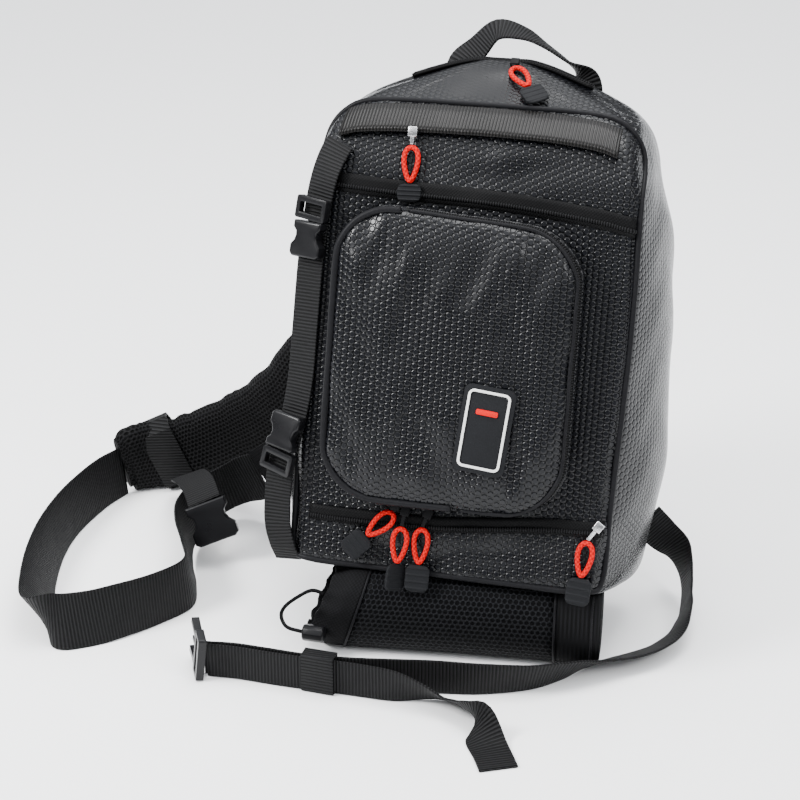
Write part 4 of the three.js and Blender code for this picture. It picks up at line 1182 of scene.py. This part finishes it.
@dataclass
class SideStraps:
    """The compression straps down the left front seam, with their buckles."""

    spans: tuple[tuple[str, float, float], ...] = (
        ("strap_upper", 0.818, 0.672),
        ("strap_middle", 0.665, 0.22),
        ("strap_lower", 0.213, -0.002),
    )

    def build(self) -> None:
        """Makes and dresses the three straps and the two buckles."""
        line = [(a * BODY_W / 2, y * CORNER - WEB, u * BODY_H, t) for a, u, y, t in SIDE_LINE]
        line = through(np.array(line), 14)
        for name, high, low in self.spans:
            stations = []
            for x, y, z, turn in line:
                if low <= z / BODY_H <= high:
                    angle = math.radians(turn)
                    across = Vector((math.cos(angle), -math.sin(angle), 0))
                    stations.append((Vector((x, y - GAP, z)), across, 1, 1))
            obj = Strap(name + "_web", stations, SIDE_WEB_W, WEB, floor=False, times=1).build()
            settled([(obj, WEBBING, (name,))])
        for node in (
            "buckle_upper_socket", "buckle_upper_clip", "buckle_lower_socket", "buckle_lower_clip"
        ):
            dressed(refined(node, 0.0006), PLASTIC, (node,))


@dataclass
class Pulls:
    """The zip pulls: a slider, a braided cord loop and a ribbed rubber tag each."""

    cord: float = 0.0017
    loop_wide: float = 0.012
    loop_long: float = 0.025
    tag_wide: float = 0.016
    tag_long: float = 0.018
    tag_corner: float = 0.0045
    ribs: int = 4

    def tag(self, name: str, long: float) -> bpy.types.Object:
        """Makes a tag with raised ribs across it, its middle at the origin.

        Args:
            name: of the object.
            long: its length.

        Returns:
            The new object.
        """
        rings = []
        count = 48
        for i in range(count + 1):
            z = (i / count - 0.5) * long
            end = max(0.0, self.tag_corner - (long / 2 - abs(z)))
            straight = self.tag_wide / 2 - self.tag_corner
            half = straight + math.sqrt(max(self.tag_corner**2 - end**2, 1e-9))
            rib = max(0.0, math.cos(2 * math.pi * self.ribs * (i / count - 0.5) + math.pi)) ** 2
            thick = (0.0009 + 0.00055 * rib) * min(1, 0.3 + (long / 2 - abs(z)) / 0.001)
            rings.append([(w * half, t * thick, z) for w, t in FLAT])
        return surface(name, np.array(rings))

    def build(self, on: Target) -> None:
        """Makes and dresses the pulls on the bag's front.

        Args:
            on: the bag's surface.
        """
        for name, across, up, out, hang, tip, twist, share in PULLS:
            at = on.front(across * BODY_W / 2, up * BODY_H)
            place = BAG @ Matrix.Translation((at.x, at.y - out * MM, at.z))
            place = place @ Matrix.Rotation(math.radians(tip), 4, "X")
            swung = Matrix.Rotation(math.radians(-hang), 4, "Y")
            start = -GAP - self.cord
            points = []
            for i in range(14):
                t = 2 * math.pi * i / 14
                narrow = 0.74 + 0.26 * math.cos(t)
                down = (self.loop_long / 2 - self.cord) * (1 - math.cos(t))
                wide = self.loop_wide / 2 * math.sin(t) * narrow
                points.append(Vector((wide, 0, start - down)))
            loop = tube("cord_" + name, points, self.cord, 5, 14, True)
            loop.data.transform(place @ swung)
            dressed(loop, RED, ("loop_" + name,))
            long = self.tag_long * share
            tag = self.tag("grip_" + name, long)
            down = start - self.loop_long + self.cord - GAP - long / 2
            lowered = Matrix.Translation((0, 0, down))
            turned = lowered @ Matrix.Rotation(math.radians(twist), 4, "Z")
            tag.data.transform(place @ swung @ turned)
            dressed(tag, RUBBER, ("tag_" + name,))
            finish = METAL if name in ("upper", "right") else TAPE
            dressed(refined("slider_" + name, 0.0005), finish, ("slider_" + name,))


@dataclass
class Label:
    """The rubber patch with its plain frame and bar."""

    def build(self) -> None:
        """Makes and dresses the three plates."""
        plates = (
            ("label_patch", RUBBER, 0.0005), ("label_frame", WHITE, 0.00015),
            ("label_bar", RED_BAR, 0.00015),
        )
        for node, finish, bevel in plates:
            dressed(refined(node, bevel), finish, (node,))


@dataclass
class BottlePocket:
    """The round pocket under the bag, open at its left end, with its drawcord."""

    left: float = 0.066
    right: float = 0.068
    turn: float = 6.0
    wall: float = 0.0016
    cuff: float = 0.026
    slant: float = 0.010
    end: float = 0.031
    seat: float = 0.0016
    sides: int = 60
    folds: int = 13
    squareness: float = 2.6

    def ring(self, x: float, share: float, slant: float, wall: float) -> list[
        tuple[float, float, float]
    ]:
        """Gives the points round the pocket at a place along it.

        Args:
            x: place along the pocket.
            share: of its radius.
            slant: how far its top leans over.
            wall: how far inside the outer face.

        Returns:
            The points, in the part's frame.
        """
        points = []
        radius = BOTTLE_R * share - wall
        middle = BOTTLE_R - self.seat
        power = self.squareness
        for i in range(self.sides):
            turn = 2 * math.pi * (i + 0.5) / self.sides
            c, s = math.cos(turn), math.sin(turn)
            full = (abs(c) ** power + abs(s) ** power) ** (-1 / power)
            rise = radius * full * s
            p = Matrix.Rotation(math.radians(self.turn), 3, "Z") @ Vector(
                (x + slant * rise / BOTTLE_R, radius * full * c, 0)
            )
            roof = BAG_AT.z - (p.y - BAG_AT.y) * math.tan(LEAN) - 3 * GAP - wall
            points.append((p.x, p.y, min(max(middle + rise, wall), roof)))
        return points

    def sleeve(
        self, name: str, sections: list[tuple[float, float, float]], closed: bool = False,
        gathers: float = 0.0,
    ) -> bpy.types.Object:
        """Makes a stretch of the pocket with its two faces.

        Args:
            name: of the piece.
            sections: place, share of the radius and slant along it.
            closed: whether its last end is filled.
            gathers: depth of the folds at its first end.

        Returns:
            The new object.
        """
        line = through(np.array(sections), 5)
        outer = [self.ring(x, share, slant, 0) for x, share, slant in line]
        inner = [self.ring(x, share, slant, self.wall) for x, share, slant in line][::-1]
        if closed:
            inner[0] = [(x - self.wall, y, z) for x, y, z in inner[0]]
            x, share, slant = line[-1]
            outer += [
                self.ring(x + 0.0006, share * 0.75, slant, 0),
                self.ring(x + 0.0008, share * 0.05, slant, 0),
            ]
            inner = [self.ring(x - self.wall, share * 0.05, slant, 0)] + inner
        rings = np.array(outer + inner)
        if gathers:
            first, last = line[0][0], line[-1][0]
            for ring in rings:
                middle = ring.mean(0)
                near = max(0.0, 1 - (middle[0] - first) / (last - first)) ** 1.5
                for k, p in enumerate(ring):
                    away = p - middle
                    away[0] = 0
                    size = np.linalg.norm(away)
                    turn = k * 2 * math.pi * self.folds / self.sides
                    fold = math.sin(turn + 0.7 * math.sin(k * 0.3))
                    p += away / size * gathers * near * fold
                    p[0] += 0.4 * gathers * near * math.sin(turn + 1)
                    p[2] = max(p[2], 0.0)
        return surface(name, rings, along=True)

    def build(self) -> None:
        """Makes and dresses the net, the cuff, the end, the drawcord and its lock."""
        net = [
            (-self.left, 1, self.slant), (-self.left / 2, 0.995, self.slant / 2),
            (0, 0.985, 0.002), (self.right / 2, 0.99, 0), (self.right, 1, 0),
        ]
        dressed(self.sleeve("net_sleeve", net), NET, ("bottle_net",))
        mouth = -self.left - GAP - self.cuff
        cuff = [
            (mouth, 0.78, self.slant * 1.4), (mouth + 0.0052, 0.84, self.slant * 1.3),
            (mouth + 0.0143, 0.98, self.slant * 1.1), (-self.left - GAP, 1, self.slant),
        ]
        dressed(self.sleeve("gathered_cuff", cuff, gathers=0.0017), PLAIN, ("bottle_cuff",))
        start = self.right + GAP
        end = [(start, 1, 0), (start + 0.8 * self.end, 1, 0), (start + self.end - 0.001, 0.9, 0)]
        dressed(self.sleeve("end_cap", end, True), PLAIN, ("bottle_end",))
        seams = (
            ("cuff_seam", -self.left, 1.012, self.slant), ("end_seam", self.right, 1.012, 0),
            ("fold_seam", start + 0.78 * self.end, 1.008, 0),
        )
        for name, x, share, slant in seams:
            line = [Vector(p) for p in self.ring(x, share, slant, 0)[::2]]
            line = [Vector((p.x, p.y, max(p.z, 0.001))) for p in line]
            dressed(tube(name, line, 0.0009, 2, 8, True), PIPING)
        lace = [
            Vector((mouth - past * BOTTLE_R, y * BOTTLE_R, up * BOTTLE_R)) for past, y, up in LACE
        ]
        lock = Vector((mouth + 0.1 * BOTTLE_R, -1.34 * BOTTLE_R, 0.58 * BOTTLE_R))
        lace.append(lock - Vector((0.0081, 0, 0)))
        dressed(tube("drawcord_line", lace, 0.0013, 6, 10), PLAIN, ("drawcord",))
        dressed(refined("cord_lock", 0.0012), PLASTIC, ("cord_lock",))


@dataclass
class Harness:
    """The shoulder pad, the sling, the waist strap and their buckle."""

    pad_width: float = 0.054
    pad_thick: float = 0.017

    def build(self) -> None:
        """Makes and dresses the straps."""
        smooth = [tuple(p) for p in through(np.array(PILLOW), 4, True)]
        pad = Strap(
            "pad_cushion", routed(PAD_ROUTE, self.pad_width), self.pad_width, self.pad_thick,
            smooth, times=10,
        )
        rings = pad.rings()
        for i, ring in enumerate(rings):
            middle = ring.mean(0)
            ring += (ring - middle) * crinkle(Vector((i * 0.004, 0, 0.01)), 0.012, 0.05)
            ring[:, 2] = np.maximum(ring[:, 2], 0.0)
        cushion = dressed(surface("pad_cushion", rings), AIR_MESH, ("shoulder_pad",))
        for name, k in (("pad_top_piping", 0), ("pad_low_piping", len(smooth) // 2)):
            line = [
                Vector(ring[k]) * 0.5 + Vector(ring[(k + 4) % len(smooth)]) * 0.5
                for ring in rings[2:-2:3]
            ]
            line = [Vector((p.x, p.y, max(p.z, 0.0014))) for p in line]
            dressed(tube(name, line, 0.0013, 2, 8), PLAIN)
        for name, table, width, nodes in (
            ("sling", SLING_ROUTE, SLING_WEB_W, ("shoulder_webbing",)),
            ("waist_band", WAIST_ROUTE, WAIST_WEB_W, ("waist_webbing",)),
            ("waist_tail_band", TAIL_ROUTE, WAIST_WEB_W, ("waist_tail",)),
        ):
            dressed(Strap(name, routed(table, width), width, WEB).build(), WEBBING, nodes)
        across = Vector((0.88, 0.33, 0.3))
        run = Vector((0.42, -0.25, -0.88)).normalized()
        socket = Vector((-0.893 * BODY_W, 0.295 * BODY_W, 1.3 * WAIST_WEB_W))
        route = [
            (-1.124, 0.71, 0.66), (-1.095, 0.61, 1.2), (-1.04, 0.5, 1.74), (-0.975, 0.4, 1.98)
        ]
        tab = [
            (Vector((x * BODY_W, y * BODY_W, up * WAIST_WEB_W)), across, 1, 1)
            for x, y, up in route
        ]
        tab.append((socket - run * 0.0153, across, 1, 1))
        dressed(Strap("socket_tab", tab, WAIST_WEB_W, WEB).build(), WEBBING, ("waist_tab",))
        for node, finish, bevel in (
            ("shoulder_wing", PLAIN, 0.0004),
            ("waist_keeper", WEBBING, 0.0003),
            ("pad_band", WEBBING, 0.0005),
            ("waist_clip", PLASTIC, 0.0006),
            ("waist_socket", PLASTIC, 0.0006),
        ):
            dressed(boxed(refined(node, bevel)), finish, (node,))


@dataclass
class Studio:
    """The floor, the lights and the camera."""

    eye: tuple[float, float, float] = (0.2392, -1.1195, 0.7161)
    right: tuple[float, float, float] = (0.9703, 0.2419, 0.0)
    up: tuple[float, float, float] = (-0.1022, 0.4101, 0.9063)
    back: tuple[float, float, float] = (0.2193, -0.8794, 0.4226)
    lens: float = 87.75
    lamps: tuple[tuple[float, ...], ...] = (
        (-0.95, -0.55, 1.0, 0.45, 30),
        (0.9, -0.5, 0.9, 0.35, 5),
        (0.1, 0.3, 1.6, 1.0, 26),
    )

    def floor(self) -> None:
        """Makes the plain pale floor."""
        data = bpy.data.meshes.new("floor")
        half = FLOOR_SIZE / 2
        corners = [(-half, -half, 0), (half, -half, 0), (half, half, 0), (-half, half, 0)]
        data.from_pydata(corners, [], [(0, 1, 2, 3)])
        obj = placed("floor", data)
        data.materials.append(FLOOR.material())

    def build(self) -> None:
        """Places the floor, the soft lamps, the pale surroundings and the camera."""
        self.floor()
        for i, (x, y, z, size, power) in enumerate(self.lamps):
            light = bpy.data.lights.new(f"softbox_{i}", "AREA")
            light.shape, light.size, light.energy = "DISK", size, power
            lamp = placed(light.name, light)
            lamp.location = (x, y, z)
            aim = Vector((0, 0, 0.15)) - lamp.location
            lamp.rotation_euler = aim.to_track_quat("-Z", "Y").to_euler()
        world = bpy.data.worlds.new("studio")
        world.use_nodes = True
        board = Board(world.node_tree)
        parts = board.put("ShaderNodeSeparateXYZ")
        board.wire(board.put("ShaderNodeTexCoord").outputs["Generated"], parts.inputs[0])
        rise = board.put("ShaderNodeMapRange", interpolation_type="SMOOTHSTEP")
        board.wire(parts.outputs[2], rise.inputs[0])
        for socket, value in zip(rise.inputs[1:5], (0.1, 0.95, 0.12, 2.9)):
            socket.default_value = value
        sky = world.node_tree.nodes["Background"]
        sky.inputs[0].default_value = (0.95, 0.97, 1.0, 1)
        board.wire(rise.outputs[0], sky.inputs[1])
        bpy.context.scene.world = world
        data = bpy.data.cameras.new("camera")
        data.lens, data.sensor_width = self.lens, 36
        camera = placed("camera", data)
        turn = Matrix((self.right, self.up, self.back)).transposed().to_4x4()
        camera.matrix_world = Matrix.Translation(self.eye) @ turn
        bpy.context.scene.camera = camera


def main() -> None:
    """Builds the bag, piece by piece, and its studio."""
    logging.basicConfig(level=logging.INFO, format="%(message)s")
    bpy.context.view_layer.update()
    on = Body().build()
    Pocket().build()
    SideStraps().build()
    Pulls().build(on)
    Label().build()
    BottlePocket().build()
    Harness().build()
    Studio().build()


if __name__ == "__main__":
    main()
